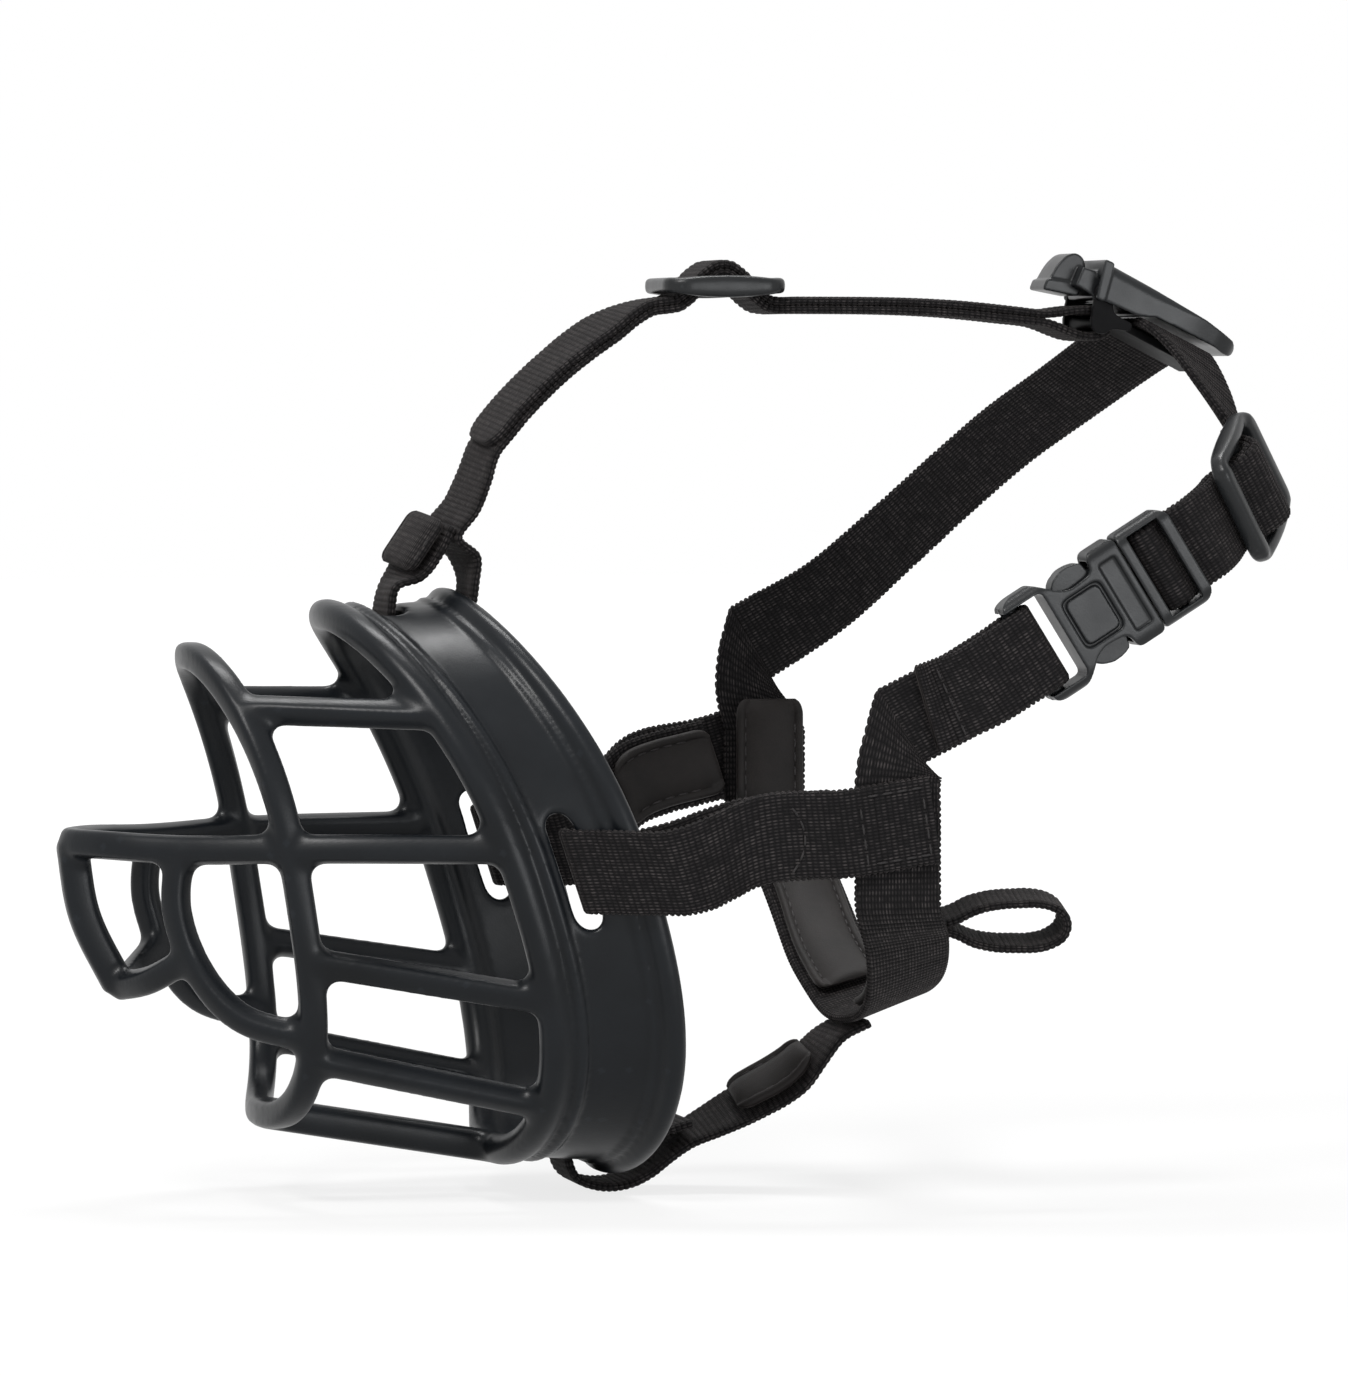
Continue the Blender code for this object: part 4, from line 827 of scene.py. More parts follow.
def pad(name, stations, face, width, thickness, piping, crown=2.6, round_end=3.2 * MM):
    """A lined strip with a crowned face, a sewn channel and piped edges."""
    run, ways, lifts, spots = fine_run(stations, 0.5 * MM)
    if np.sum(lifts @ np.array(face)) < 0:
        ways, lifts = -ways, -lifts
    half = width / 2
    sewn = half - 2 * piping
    inner = np.linspace(-sewn, sewn, 15)
    bead = np.linspace(0, np.pi, 6)[1:-1]
    right = half - piping - piping * np.cos(bead)
    over = np.concatenate([-right[::-1], inner, right])
    channel = 0.45 * piping
    rise = (thickness / 2 - channel) * (1 - np.abs(inner / sewn) ** crown) + channel
    bead_rise = piping * np.sin(bead) * 0.95 + 0.1 * piping
    top = np.concatenate([bead_rise[::-1], rise, bead_rise])
    under = over[::-1] * 0.985
    back = -np.full(len(under), thickness * 0.34)
    back[0] = back[-1] = -0.15 * thickness
    across = np.concatenate([over, [half], under, [-half]])
    lift = np.concatenate([top, [0], back, [0]])
    girth = np.concatenate([[0], np.cumsum(np.hypot(np.diff(across), np.diff(lift)))])
    from_end = np.minimum(spots, spots[-1] - spots)
    share = np.clip(from_end / round_end, 0, 1)
    ease = np.sqrt(np.clip(1 - (1 - share) ** 2, 0.02, 1))
    pucker = 1 + 0.035 * np.sin(spots / (3.1 * MM)) * np.sin(spots / (7.3 * MM))
    wide = across[None, :] * (0.72 + 0.28 * ease)[:, None]
    thick = lift[None, :] * (ease * pucker)[:, None]
    ends = (round_end, spots[-1] - round_end)
    for side in (-1, 1):
        SEAMS.append(edge_line((run, ways, lifts, spots), *ends, side * sewn, channel + 0.05 * MM))
    return shade(swept(name, run, ways, lifts, spots, wide, thick, girth), 70)


def bar(points, half_wide, half_deep, core, cyclic=False, power=4.0, count=20):
    """A bar of rounded section, flat side out from a core, as vertices and faces."""
    path = np.array(points)
    if cyclic:
        ahead = np.roll(path, -1, axis=0) - np.roll(path, 1, axis=0)
    else:
        ahead = np.gradient(path, axis=0)
    ahead /= np.linalg.norm(ahead, axis=1, keepdims=True)
    out = path - np.array(core(path))
    out -= ahead * np.sum(out * ahead, 1, keepdims=True)
    out /= np.linalg.norm(out, axis=1, keepdims=True)
    wide = np.cross(ahead, out)
    angle = np.linspace(0, 2 * np.pi, count, endpoint=False)
    across = np.sign(np.cos(angle)) * np.abs(np.cos(angle)) ** (2 / power)
    depth = np.sign(np.sin(angle)) * np.abs(np.sin(angle)) ** (2 / power)
    half_wide = np.broadcast_to(half_wide, len(path))[:, None, None]
    half_deep = np.broadcast_to(half_deep, len(path))[:, None, None]
    points = path[:, None, :] + wide[:, None, :] * across[None, :, None] * half_wide
    points = points + out[:, None, :] * depth[None, :, None] * half_deep
    rows = len(path)
    index = np.arange(rows * count).reshape(rows, count)
    if cyclic:
        index = np.concatenate([index, index[:1]])
    following = np.roll(index, -1, axis=1)
    faces = np.stack([index[:-1], index[1:], following[1:], following[:-1]], -1).reshape(-1, 4).tolist()
    if not cyclic:
        faces += [index[0].tolist(), index[-1][::-1].tolist()]
    return points.reshape(-1, 3), faces


def joined(name, shells):
    """One object holding several closed shells."""
    points, faces, base = [], [], 0
    for verts, loops in shells:
        points += np.asarray(verts).tolist()
        faces += [[i + base for i in loop] for loop in loops]
        base += len(verts)
    mesh = bpy.data.meshes.new(name)
    mesh.from_pydata(points, [], faces)
    face_out(mesh)
    return new_object(name, mesh)


def plate(name, outline, low, high, matrix):
    bm = bmesh.new()
    face = bm.faces.new([bm.verts.new((x, y, low)) for x, y in outline])
    grown = bmesh.ops.extrude_face_region(bm, geom=[face])
    top = [v for v in grown["geom"] if isinstance(v, bmesh.types.BMVert)]
    bmesh.ops.translate(bm, verts=top, vec=(0, 0, high - low))
    bm.transform(matrix)
    bmesh.ops.recalc_face_normals(bm, faces=bm.faces)
    mesh = bpy.data.meshes.new(name)
    bm.to_mesh(mesh)
    bm.free()
    return new_object(name, mesh)


def block(name, low, high, matrix):
    outline = [(low[0], low[1]), (high[0], low[1]), (high[0], high[1]), (low[0], high[1])]
    return plate(name, outline, low[2], high[2], matrix)


def rod(name, start, end, radius):
    path = [start.lerp(end, k / 4) for k in range(5)]
    return joined(name, [bar(path, radius, radius, askew, power=2)])


def cut(obj, operation, others):
    """Booleans the others into the object, and drops them."""
    for other in others:
        modifier = obj.modifiers.new("cut", "BOOLEAN")
        modifier.operation = operation
        modifier.solver = "EXACT"
        modifier.object = other
    settle(obj)
    drop(*others)
    return obj


def moulded(obj, voxel, passes, fillet=0.0):
    """Melts the shells into one skin with soft edges, and fills its inner corners."""
    def remesh():
        modifier = obj.modifiers.new("skin", "REMESH")
        modifier.mode = "VOXEL"
        modifier.voxel_size = voxel
        modifier.use_smooth_shade = True

    def relax(times):
        modifier = obj.modifiers.new("relax", "SMOOTH")
        modifier.factor = 0.5
        modifier.iterations = times

    def swell(distance):
        modifier = obj.modifiers.new("swell", "DISPLACE")
        modifier.strength = distance
        modifier.mid_level = 0

    remesh()
    if fillet:
        relax(1)
        swell(fillet)
        remesh()
        relax(3)
        swell(-fillet)
        remesh()
    relax(passes)
    settle(obj)
    obj.data.shade_smooth()
    return obj


# Materials

class Nodes:
    """A node tree and short ways to add to it."""

    def __init__(self, tree):
        self.tree = tree

    def node(self, kind, **values):
        made = self.tree.nodes.new(kind)
        for key, value in values.items():
            if key.startswith("in_"):
                spot = key[3:]
                made.inputs[int(spot) if spot.isdigit() else spot].default_value = value
            else:
                setattr(made, key, value)
        return made

    def join(self, source, target, spot):
        output = source.outputs[0] if hasattr(source, "outputs") else source
        self.tree.links.new(output, target.inputs[spot])
        return target

    def math(self, operation, first, second=0.5):
        made = self.node("ShaderNodeMath", operation=operation)
        for spot, value in enumerate((first, second)):
            if isinstance(value, (int, float)):
                made.inputs[spot].default_value = value
            else:
                self.join(value, made, spot)
        return made

    def remap(self, source, low, high, first=0.0, last=1.0):
        made = self.node("ShaderNodeMapRange")
        for spot, value in (("From Min", first), ("From Max", last), ("To Min", low), ("To Max", high)):
            made.inputs[spot].default_value = value
        return self.join(source, made, "Value")


class Paint(Nodes):
    """A material with a Principled shader."""

    def __init__(self, name):
        self.material = bpy.data.materials.new(name)
        self.material.use_nodes = True
        super().__init__(self.material.node_tree)
        self.shader = self.tree.nodes["Principled BSDF"]

    def noise(self, scale, detail=3.0, vector=None, roughness=0.55):
        made = self.node("ShaderNodeTexNoise", in_Scale=scale, in_Detail=detail, in_Roughness=roughness)
        return self.join(vector or self.place_of(), made, "Vector")

    def place_of(self):
        return self.node("ShaderNodeTexCoord").outputs["Object"]

    def ramp(self, source, stops):
        made = self.node("ShaderNodeValToRGB")
        while len(made.color_ramp.elements) < len(stops):
            made.color_ramp.elements.new(0.5)
        for element, (spot, colour) in zip(made.color_ramp.elements, stops):
            element.position = spot
            element.color = (*colour, 1)
        return self.join(source, made, "Fac")

    def tint(self, source, stops):
        self.join(self.ramp(source, stops), self.shader, "Base Color")

    def span(self, source, low, high, target):
        self.join(self.remap(source, low, high), self.shader, target)

    def bump(self, source, distance, strength=1.0, before=None):
        made = self.node("ShaderNodeBump", in_Strength=strength, in_Distance=distance)
        self.join(source, made, "Height")
        if before is not None:
            self.join(before, made, "Normal")
        self.join(made, self.shader, "Normal")
        return made

    def set(self, **values):
        for key, value in values.items():
            self.shader.inputs[key.replace("_", " ")].default_value = value
        return self


def rubber_paint(name, dark, light, rough_low, rough_high, grain, gloss):
    paint = Paint(name)
    broad = paint.noise(45, 4)
    fine = paint.noise(grain, 2)
    # Convex edges, found by pointiness, are painted lighter: a painted edge highlight, mixed with the
    # random broad tone.
    edge_highlight_pointiness = paint.node("ShaderNodeNewGeometry").outputs["Pointiness"]
    edge = paint.ramp(edge_highlight_pointiness, [(0.49, (0, 0, 0)), (0.60, (1, 1, 1))])
    tone_with_edge_highlight = paint.math("ADD", paint.math("MULTIPLY", broad, 0.75), paint.math("MULTIPLY", edge, 0.35))
    paint.tint(tone_with_edge_highlight, [(0.2, dark), (0.85, light)])
    paint.span(paint.noise(190, 3), rough_low, rough_high, "Roughness")
    first = paint.bump(paint.noise(320, 2), 0.05 * MM, 0.35)
    paint.bump(fine, 0.03 * MM, 0.5, first)
    return paint.set(Specular_IOR_Level=gloss)


def webbing_paint(name, dark, middle, light, yarn):
    paint = Paint(name)
    layer = paint.node("ShaderNodeUVMap", uv_map="weave")
    parts = paint.node("ShaderNodeSeparateXYZ")
    paint.join(layer, parts, 0)
    across = paint.math("MULTIPLY", parts.outputs[0], 2 * math.pi / yarn)
    along = paint.math("MULTIPLY", parts.outputs[1], math.pi / (RIB_PITCH / MM))
    wander = paint.math("MULTIPLY", paint.noise(900, 2, layer), 1.6)
    strand = paint.math("SINE", paint.math("ADD", across, wander))
    rib = paint.math("ABSOLUTE", paint.math("SINE", along))
    knit = paint.math("MULTIPLY", paint.math("ADD", strand, 1.0), paint.math("ADD", rib, 0.25))
    fuzz = paint.noise(5200, 3)
    mottle = paint.noise(260, 3)
    cell = paint.node("ShaderNodeVectorMath", operation="MULTIPLY", in_1=(1 / yarn, MM / RIB_PITCH, 0))
    paint.join(layer, cell, 0)
    loop = paint.join(cell, paint.node("ShaderNodeVectorMath", operation="FLOOR"), 0)
    speck = paint.join(loop, paint.node("ShaderNodeTexWhiteNoise", noise_dimensions="2D"), "Vector")
    speck = paint.math("POWER", speck, 1.8)
    # The knit's raised strands are painted lighter and its hollows darker: painted highlight and shade on
    # the weave's relief. The lighter random loops are painted glints.
    tone = paint.math("MULTIPLY", knit, paint.math("ADD", mottle, 0.1))
    tone = paint.math("MULTIPLY", tone, paint.math("ADD", paint.math("MULTIPLY", speck, 0.62), 0.42))
    tone = paint.math("ADD", paint.math("MULTIPLY", tone, 0.55), paint.math("MULTIPLY", fuzz, 0.26))
    paint.tint(tone, [(0.14, dark), (0.42, middle), (0.95, light)])
    paint.span(fuzz, 0.68, 0.92, "Roughness")
    height = paint.math("ADD", paint.math("MULTIPLY", knit, 0.5), paint.math("MULTIPLY", fuzz, 0.8))
    paint.bump(paint.math("ADD", height, paint.math("MULTIPLY", speck, 0.7)), 0.1 * MM, 1.0)
    paint.set(Specular_IOR_Level=0.14, Sheen_Weight=0.07, Sheen_Roughness=0.45)
    return paint.set(Sheen_Tint=(0.62, 0.55, 0.53, 1))


def lining_paint(name):
    paint = Paint(name)
    soft = paint.noise(120, 4)
    nap = paint.noise(4200, 3)
    tone = paint.math("ADD", paint.math("MULTIPLY", soft, 0.6), paint.math("MULTIPLY", nap, 0.4))
    paint.tint(tone, [(0.3, (0.0022, 0.0018, 0.0017)), (0.75, (0.0125, 0.0100, 0.0094))])
    paint.span(nap, 0.5, 0.72, "Roughness")
    first = paint.bump(soft, 0.2 * MM, 0.6)
    paint.bump(nap, 0.06 * MM, 0.9, first)
    paint.set(Specular_IOR_Level=0.2, Sheen_Weight=0.07, Sheen_Roughness=0.35)
    return paint.set(Sheen_Tint=(0.6, 0.54, 0.52, 1))


def steel_paint(name):
    paint = Paint(name)
    streak = paint.noise(700, 2)
    paint.tint(streak, [(0.3, (0.30, 0.30, 0.31)), (0.8, (0.46, 0.46, 0.47))])
    paint.span(streak, 0.26, 0.42, "Roughness")
    return paint.set(Metallic=1.0)


def thread_paint(name):
    paint = Paint(name)
    twist = paint.noise(3800, 2)
    paint.tint(twist, [(0.3, (0.006, 0.0055, 0.006)), (0.75, (0.034, 0.031, 0.031))])
    paint.span(twist, 0.45, 0.7, "Roughness")
    paint.bump(twist, 0.04 * MM, 0.8)
    return paint.set(Specular_IOR_Level=0.25)


PAINTS = {
    "moulded_rubber": rubber_paint(
        "moulded_rubber_look", (0.0022, 0.0029, 0.0038), (0.0085, 0.0106, 0.0135), 0.27, 0.42, 2600, 0.2),
    "buckle_plastic": rubber_paint(
        "buckle_plastic_look", (0.0055, 0.006, 0.0066), (0.0180, 0.0194, 0.0208), 0.25, 0.39, 3400, 0.24),
    "webbing": webbing_paint(
        "webbing_look", (0.0015, 0.0014, 0.0017), (0.0100, 0.0090, 0.0096), (0.050, 0.0445, 0.0440), 0.6),
    # The clip base is the buckle plastic painted darker and duller: painted shade where the lever shadows
    # it.
    "clip_base": rubber_paint(
        "clip_base_shaded_look", (0.002, 0.002, 0.0022), (0.006, 0.006, 0.0065), 0.45, 0.6, 3400, 0.06),
    "lining": lining_paint("lining_look"),
    "steel": steel_paint("steel_look"),
    "thread": thread_paint("thread_look"),
}


def coat(obj, slot, look=None):
    obj.data.materials.clear()
    obj.data.materials.append(PAINTS[look or slot].material)


def dress(obj, slot, body, *nodes, look=None):
    """Gives a piece the look of its slot, or the look named instead, hides the nodes it stands for and
    hangs it on the body it rides on.
    """
    coat(obj, slot, look)
    if nodes:
        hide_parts(*nodes)
    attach(obj, body)
    return obj


def dress_blend(obj, slot, first, second, start, end, *nodes):
    """Gives a piece that stretches between two bodies the look of its slot, hides the nodes it stands for
    and bakes its place into its mesh; it is hung on no body.
    """
    coat(obj, slot)
    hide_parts(*nodes)
    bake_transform(obj)
    return obj


# Basket

RING_STEPS = 160
SIDE_HEIGHTS = ((32.5, 31.5), (-12, -19), (-29.5, -38.5))
BAND_RIDGES = ((0.22, 0.95 * MM, 1.1 * MM), (0.84, 0.9 * MM, 0.9 * MM))


def on_axis(path):
    """Points of the basket's long axis beside a path."""
    core = np.array(path)
    core[:, 1] = 0
    core[:, 2] = 0
    return core


def in_snout(path):
    return np.broadcast_to(np.array(mm(-45, 0, 0)), np.shape(path))


def ring(hoop, grow=0.0):
    bigger = hoop._replace(half_width=hoop.half_width + grow, half_height=hoop.half_height + grow)
    return [hoop_point(bigger, 2 * math.pi * k / RING_STEPS) for k in range(RING_STEPS)]


def band_ring(share, grow):
    return [a.lerp(b, share) for a, b in zip(ring(FRONT_RIM, grow), ring(REAR_RIM, grow))]


def cage_bars():
    step = 2 * MM
    nose = Vector((NOSE_X, 0, NOSE_Z))
    chin = mm(-74, 0, -18)
    brow = [hoop_at_height(FRONT_RIM, NOSE_Z, -1), hoop_at_height(MIDDLE_HOOP, NOSE_Z, -1)]
    brow += [mm(-65.5, -17.5, 7.5), nose + mm(3.5, -7, 0)]
    brow = brow + [nose] + [Vector((p.x, -p.y, p.z)) for p in reversed(brow)]
    shells = [
        bar(smooth_points(brow, step), HOOP_HALF_WIDE, BAR_HALF, in_snout),
        bar(smooth_points([nose, mm(-80.3, 0, -5), chin], step), NOSE_HALF_WIDE, KEEL_HALF_DEEP, in_snout),
    ]
    for side in (-1, 1):
        corner = mm(-63.8, 17.5 * side, -11.5)
        fang = [mm(-65.5, 17.5 * side, 7.5), mm(-66.5, 17.5 * side, -2), corner]
        fang += [mm(-56, 22 * side, -22), hoop_at_height(MIDDLE_HOOP, -26 * MM, side)]
        shells.append(bar(smooth_points(fang, step), BAR_HALF, BAR_HALF, in_snout))
        chin_bar = smooth_points([chin, mm(-69.5, 10 * side, -16), corner], step)
        shells.append(bar(chin_bar, BAR_HALF, BAR_HALF, in_snout))
        for fore, aft in SIDE_HEIGHTS:
            ends = [hoop_at_height(MIDDLE_HOOP, fore * MM, side), hoop_at_height(FRONT_RIM, aft * MM, side)]
            shells.append(bar(smooth_points(ends, step), BAR_HALF, BAR_HALF, on_axis))
    keel = [hoop_point(MIDDLE_HOOP, math.pi), hoop_point(FRONT_RIM, math.pi)]
    shells.append(bar(smooth_points(keel, step), KEEL_HALF_WIDE, KEEL_HALF_DEEP, on_axis))
    shells.append(bar(ring(MIDDLE_HOOP), HOOP_HALF_WIDE, HOOP_HALF_DEEP, on_axis, cyclic=True))
    return shells


def band_wall():
    """The band's wall as a closed ring, with the four slots cut."""
    half = WALL_THICKNESS / 2
    front, rear = np.array(ring(FRONT_RIM)), np.array(ring(REAR_RIM))
    along = np.roll(rear, -1, axis=0) - np.roll(rear, 1, axis=0)
    outward = np.cross(along, rear - front)
    outward /= np.linalg.norm(outward, axis=1, keepdims=True)
    if np.sum(outward * (rear * [0, 1, 1])) < 0:
        outward = -outward
    skin = outward * half
    corners = np.stack([front - skin, rear - skin, rear + skin, front + skin], 1)
    rows = len(front)
    index = np.arange(rows * 4).reshape(rows, 4)
    index = np.concatenate([index, index[:1]])
    following = np.roll(index, -1, axis=1)
    faces = np.stack([index[:-1], following[:-1], following[1:], index[1:]], -1).reshape(-1, 4).tolist()
    wall = joined("band_wall", [(corners.reshape(-1, 3), faces)])
    cutters = []
    for name, where in SLOTS.items():
        spot, rearward, outward_way, along_way = band_frame(**where)
        if rearward.cross(along_way).dot(outward_way) < 0:
            along_way.negate()
        matrix = Matrix((rearward, along_way, outward_way)).transposed().to_4x4()
        matrix.translation = spot
        corner = SLOT_WIDTH / 2
        straight = (WEB_WIDTH + SLOT_SPARE) / 2 - corner
        outline = []
        for end in (1, -1):
            for k in range(13):
                angle = math.pi * k / 12
                x, y = corner * math.cos(angle), straight + corner * math.sin(angle)
                outline.append((end * x, end * y))
        reach = 3 * WALL_THICKNESS
        cutters.append(plate(f"{name}_slot", outline, -reach, reach, matrix))
    return cut(wall, "DIFFERENCE", cutters)


def shells_of(obj):
    points = [v.co[:] for v in obj.data.vertices]
    faces = [list(p.vertices) for p in obj.data.polygons]
    return points, faces


def make_basket():
    wall = band_wall()
    shells = cage_bars() + [shells_of(wall)]
    drop(wall)
    beads = ((ring(FRONT_RIM), FRONT_BEAD_RADIUS, 2.3), (ring(REAR_RIM, FLANGE_RISE), FLANGE_RADIUS, 2.2))
    shells += [bar(rim, radius, radius, on_axis, cyclic=True, power=power) for rim, radius, power in beads]
    core = moulded(joined("basket_core", shells), CORE_VOXEL, 1, fillet=BASKET_FILLET)
    trim = [shells_of(core)]
    drop(core)
    for share, grow, radius in BAND_RIDGES:
        trim.append(bar(band_ring(share, grow), radius, radius, on_axis, cyclic=True, power=2))
    skin = moulded(joined("basket_skin", trim), SKIN_VOXEL, 3)
    dress(skin, "moulded_rubber", "harness", "basket")


# Straps and linings

def lined(name, run, face, node):
    piece = pad(f"{name}_lining", run, face, PAD_WIDTH, PAD_THICKNESS, PIPING)
    dress(piece, "lining", "harness", node)


def make_cheeks():
    plans = (
        ("near", -1, NEAR_JUNCTION_Z, spread(30, -0.984, 9.2)),
        ("far", 1, FAR_JUNCTION_Z, spread(31, 0.956, 14.8)),
    )
    for n, (name, side, junction_z, middle) in enumerate(plans):
        route, inner = cheek_route(name, side, junction_z, middle)
        dress(webbing(f"{name}_cheek_web", route, 11 + n), "webbing", "harness", f"{name}_cheek_strap")
        way = fine_run(route, MM)
        rise = math.copysign(THREAD_LIE, side * np.mean(way[2][:10, 1]))
        SEAMS.extend(box_seam(way, *BOX_SEAM, rise))
        SEAMS.append(cross_line(way, ARC_SEAM_SPOT, ARC_SEAM_REACH, rise, ARC_SEAM_BOW))
        run = shifted([s for s in inner if s.centre.x > PAD_START_X], side * PAD_LIE)
        lined(f"{name}_cheek", run, (0, -side, 0), f"{name}_cheek_pad")


def make_throat():
    throat = throat_route()
    dress(webbing("throat_web", throat, 21), "webbing", "harness", "throat_strap")
    near, far, lowest = throat_pads(throat)
    for name, run, side in (("near", near, -1), ("far", far, 1)):
        lined(f"{name}_throat", run, (0, -side, 0), f"{name}_throat_pad")
    chin, chin_lining = chin_routes(throat, lowest)
    dress(webbing("chin_web", chin, 31), "webbing", "harness", "chin_strap")
    lined("chin", chin_lining, (0, 0, 1), "chin_pad")


def make_near_neck():
    routes = near_neck_routes()
    for n, route in enumerate(routes):
        dress(webbing(f"near_neck_web_{n + 1}", route, 41 + n), "webbing", "harness", "near_neck_strap")
    way = fine_run(routes[0], MM)
    rise = math.copysign(THREAD_LIE, -np.mean(way[2][:10, 1]))
    for spot in HEM_SEAMS:
        SEAMS.append(cross_line(way, spot, HEM_SEAM_REACH, rise))
    run, ways, lifts, _ = fine_run(routes[0], 0.5 * MM)
    over = math.copysign(HEM_RISE, rise)
    hem = [place(run[k] + lifts[k] * over, ways[k]) for k in range(7)]
    dress(webbing("near_neck_hem", hem, 45), "webbing", "harness", "near_neck_strap")


def make_loop():
    piece = webbing("collar_loop_web", collar_loop_route(), 51, LOOP_WIDTH, 1.5 * MM)
    dress(piece, "webbing", "loop", "collar_loop")


def make_tab():
    lie = (WEB_THICKNESS + TAB_THICKNESS) / 2 + CLEARANCE
    run = [place(TAB.at(share * TAB_LENGTH / 2, 0, lie), TAB_ROLL) for share in (-1, -0.3, 0.3, 1)]
    shape = dict(crown=5, round_end=2 * MM)
    piece = pad("head_tab_patch", run, TAB.z, WEB_WIDTH, TAB_THICKNESS, 0.45 * MM, **shape)
    dress(piece, "webbing", "harness", "head_tab")


def make_head_strap():
    routes = head_routes()
    ahead = (HEAD_SLIDER.at(-SLIDER_REACH - 14 * MM, 0, -8 * MM), HEAD_SLIDER.at(-SLIDER_REACH, 0, 0))
    behind = (HEAD_SLIDER.at(SLIDER_REACH, 0, 0), HEAD_SLIDER.at(SLIDER_REACH + 45 * MM, 0, 0))
    for n, name in enumerate(("front", "tail")):
        piece = webbing(f"head_web_{name}", routes[name], 61 + n, corner=4.5 * MM * n)
        dress_blend(piece, "webbing", "harness", "head_adjuster", *ahead, "head_strap")
    piece = webbing("head_web_rear", routes["rear"], 63)
    dress_blend(piece, "webbing", "head_adjuster", "harness", *behind, "head_strap")


def make_neck_strap():
    routes = neck_routes()
    dress(webbing("neck_web_stem", routes["stem"], 70), "webbing", "harness", "neck_strap")
    piece = webbing("neck_web_crown", routes["crown"], 71)
    start, end = CLIP.at(CROWN_X, -CLIP_WIDTH / 2, CROWN_Z), routes["crown"][-1].centre
    dress_blend(piece, "webbing", "harness", "plug", start, end, "neck_strap")
    entry = (NECK_SLIDER.at(-SLIDER_REACH - 2 * MM, 0, 0), NECK_SLIDER.at(-SLIDER_REACH + 3 * MM, 0, 0))
    leave = (NECK_SLIDER.at(SLIDER_REACH, 0, 0), NECK_SLIDER.at(SLIDER_REACH + 7 * MM, 0, 0))
    for n, name in enumerate(("slider", "tail")):
        piece = webbing(f"neck_web_{name}", routes[name], 72 + n)
        dress_blend(piece, "webbing", "plug", "neck_adjuster", *entry, "neck_strap")
    piece = webbing("neck_web_buckle", routes["buckle"], 75)
    dress_blend(piece, "webbing", "neck_adjuster", "plug", *leave, "neck_strap")


# Sliders

def make_slider(name, node, body, frame_of, broad):
    half = WEB_WIDTH / 2 + SIDE_CLEARANCE + SLIDER_BAR_RADIUS
    corner = SLIDER_CORNER
    spots = []
    for sx, sy, start in ((1, 1, 0), (-1, 1, 90), (-1, -1, 180), (1, -1, 270)):
        for k in range(7):
            angle = math.radians(start + 15 * k)
            x = sx * (SLIDER_REACH + broad - corner) + corner * math.cos(angle)
            y = sy * (half - corner) + corner * math.sin(angle)
            spots.append((x, y))
    spots.append(spots[0])
    path = []
    for (ax, ay), (bx, by) in zip(spots, spots[1:]):
        count = max(1, round(math.hypot(bx - ax, by - ay) / MM))
        path += [(ax + (bx - ax) * k / count, ay + (by - ay) * k / count) for k in range(count)]
    side = np.clip((np.abs([y for _, y in path]) - half) / SLIDER_SIDE_EASE + 1, 0, 1)
    middle = 1 - np.clip(np.abs([x for x, _ in path]) / SLIDER_REACH, 0, 1) ** 2
    raised = 0.8 * broad * (1 - side)
    deep = SLIDER_BAR_RADIUS + SLIDER_BELLY * side * middle + raised
    ring_path = [frame_of.at(x, y, lift) for (x, y), lift in zip(path, raised)]
    wide = SLIDER_BAR_RADIUS + broad * (1 - side)
    shells = [bar(ring_path, wide, deep, lambda p: p - np.array(frame_of.z), cyclic=True, power=3.2)]
    cross = [frame_of.at(0, half * k / 6, 0) for k in range(-6, 7)]
    shells.append(bar(cross, SLIDER_BAR_RADIUS, SLIDER_BAR_RADIUS, lambda p: p - np.array(frame_of.z)))
    piece = moulded(joined(name, shells), SLIDER_VOXEL, 3, fillet=SLIDER_FILLET)
    dress(piece, "buckle_plastic", body, node)


# Crown clip

def rectangle(x_low, y_low, x_high, y_high):
    return [(x_low, y_low), (x_high, y_low), (x_high, y_high), (x_low, y_high)]


def scaled(outline):
    return [(x * MM, y * MM) for x, y in outline]


def rounded(outline, radius, steps=4):
    """The outline with its corners rounded."""
    found = []
    count = len(outline)
    for i in range(count):
        here = Vector(outline[i])
        before = Vector(outline[i - 1]) - here
        after = Vector(outline[(i + 1) % count]) - here
        reach = min(radius, 0.45 * before.length, 0.45 * after.length)
        first, last = here + before.normalized() * reach, here + after.normalized() * reach
        for k in range(steps + 1):
            t = k / steps
            spot = first * (1 - t) ** 2 + here * 2 * t * (1 - t) + last * t**2
            found.append((spot.x, spot.y))
    return found


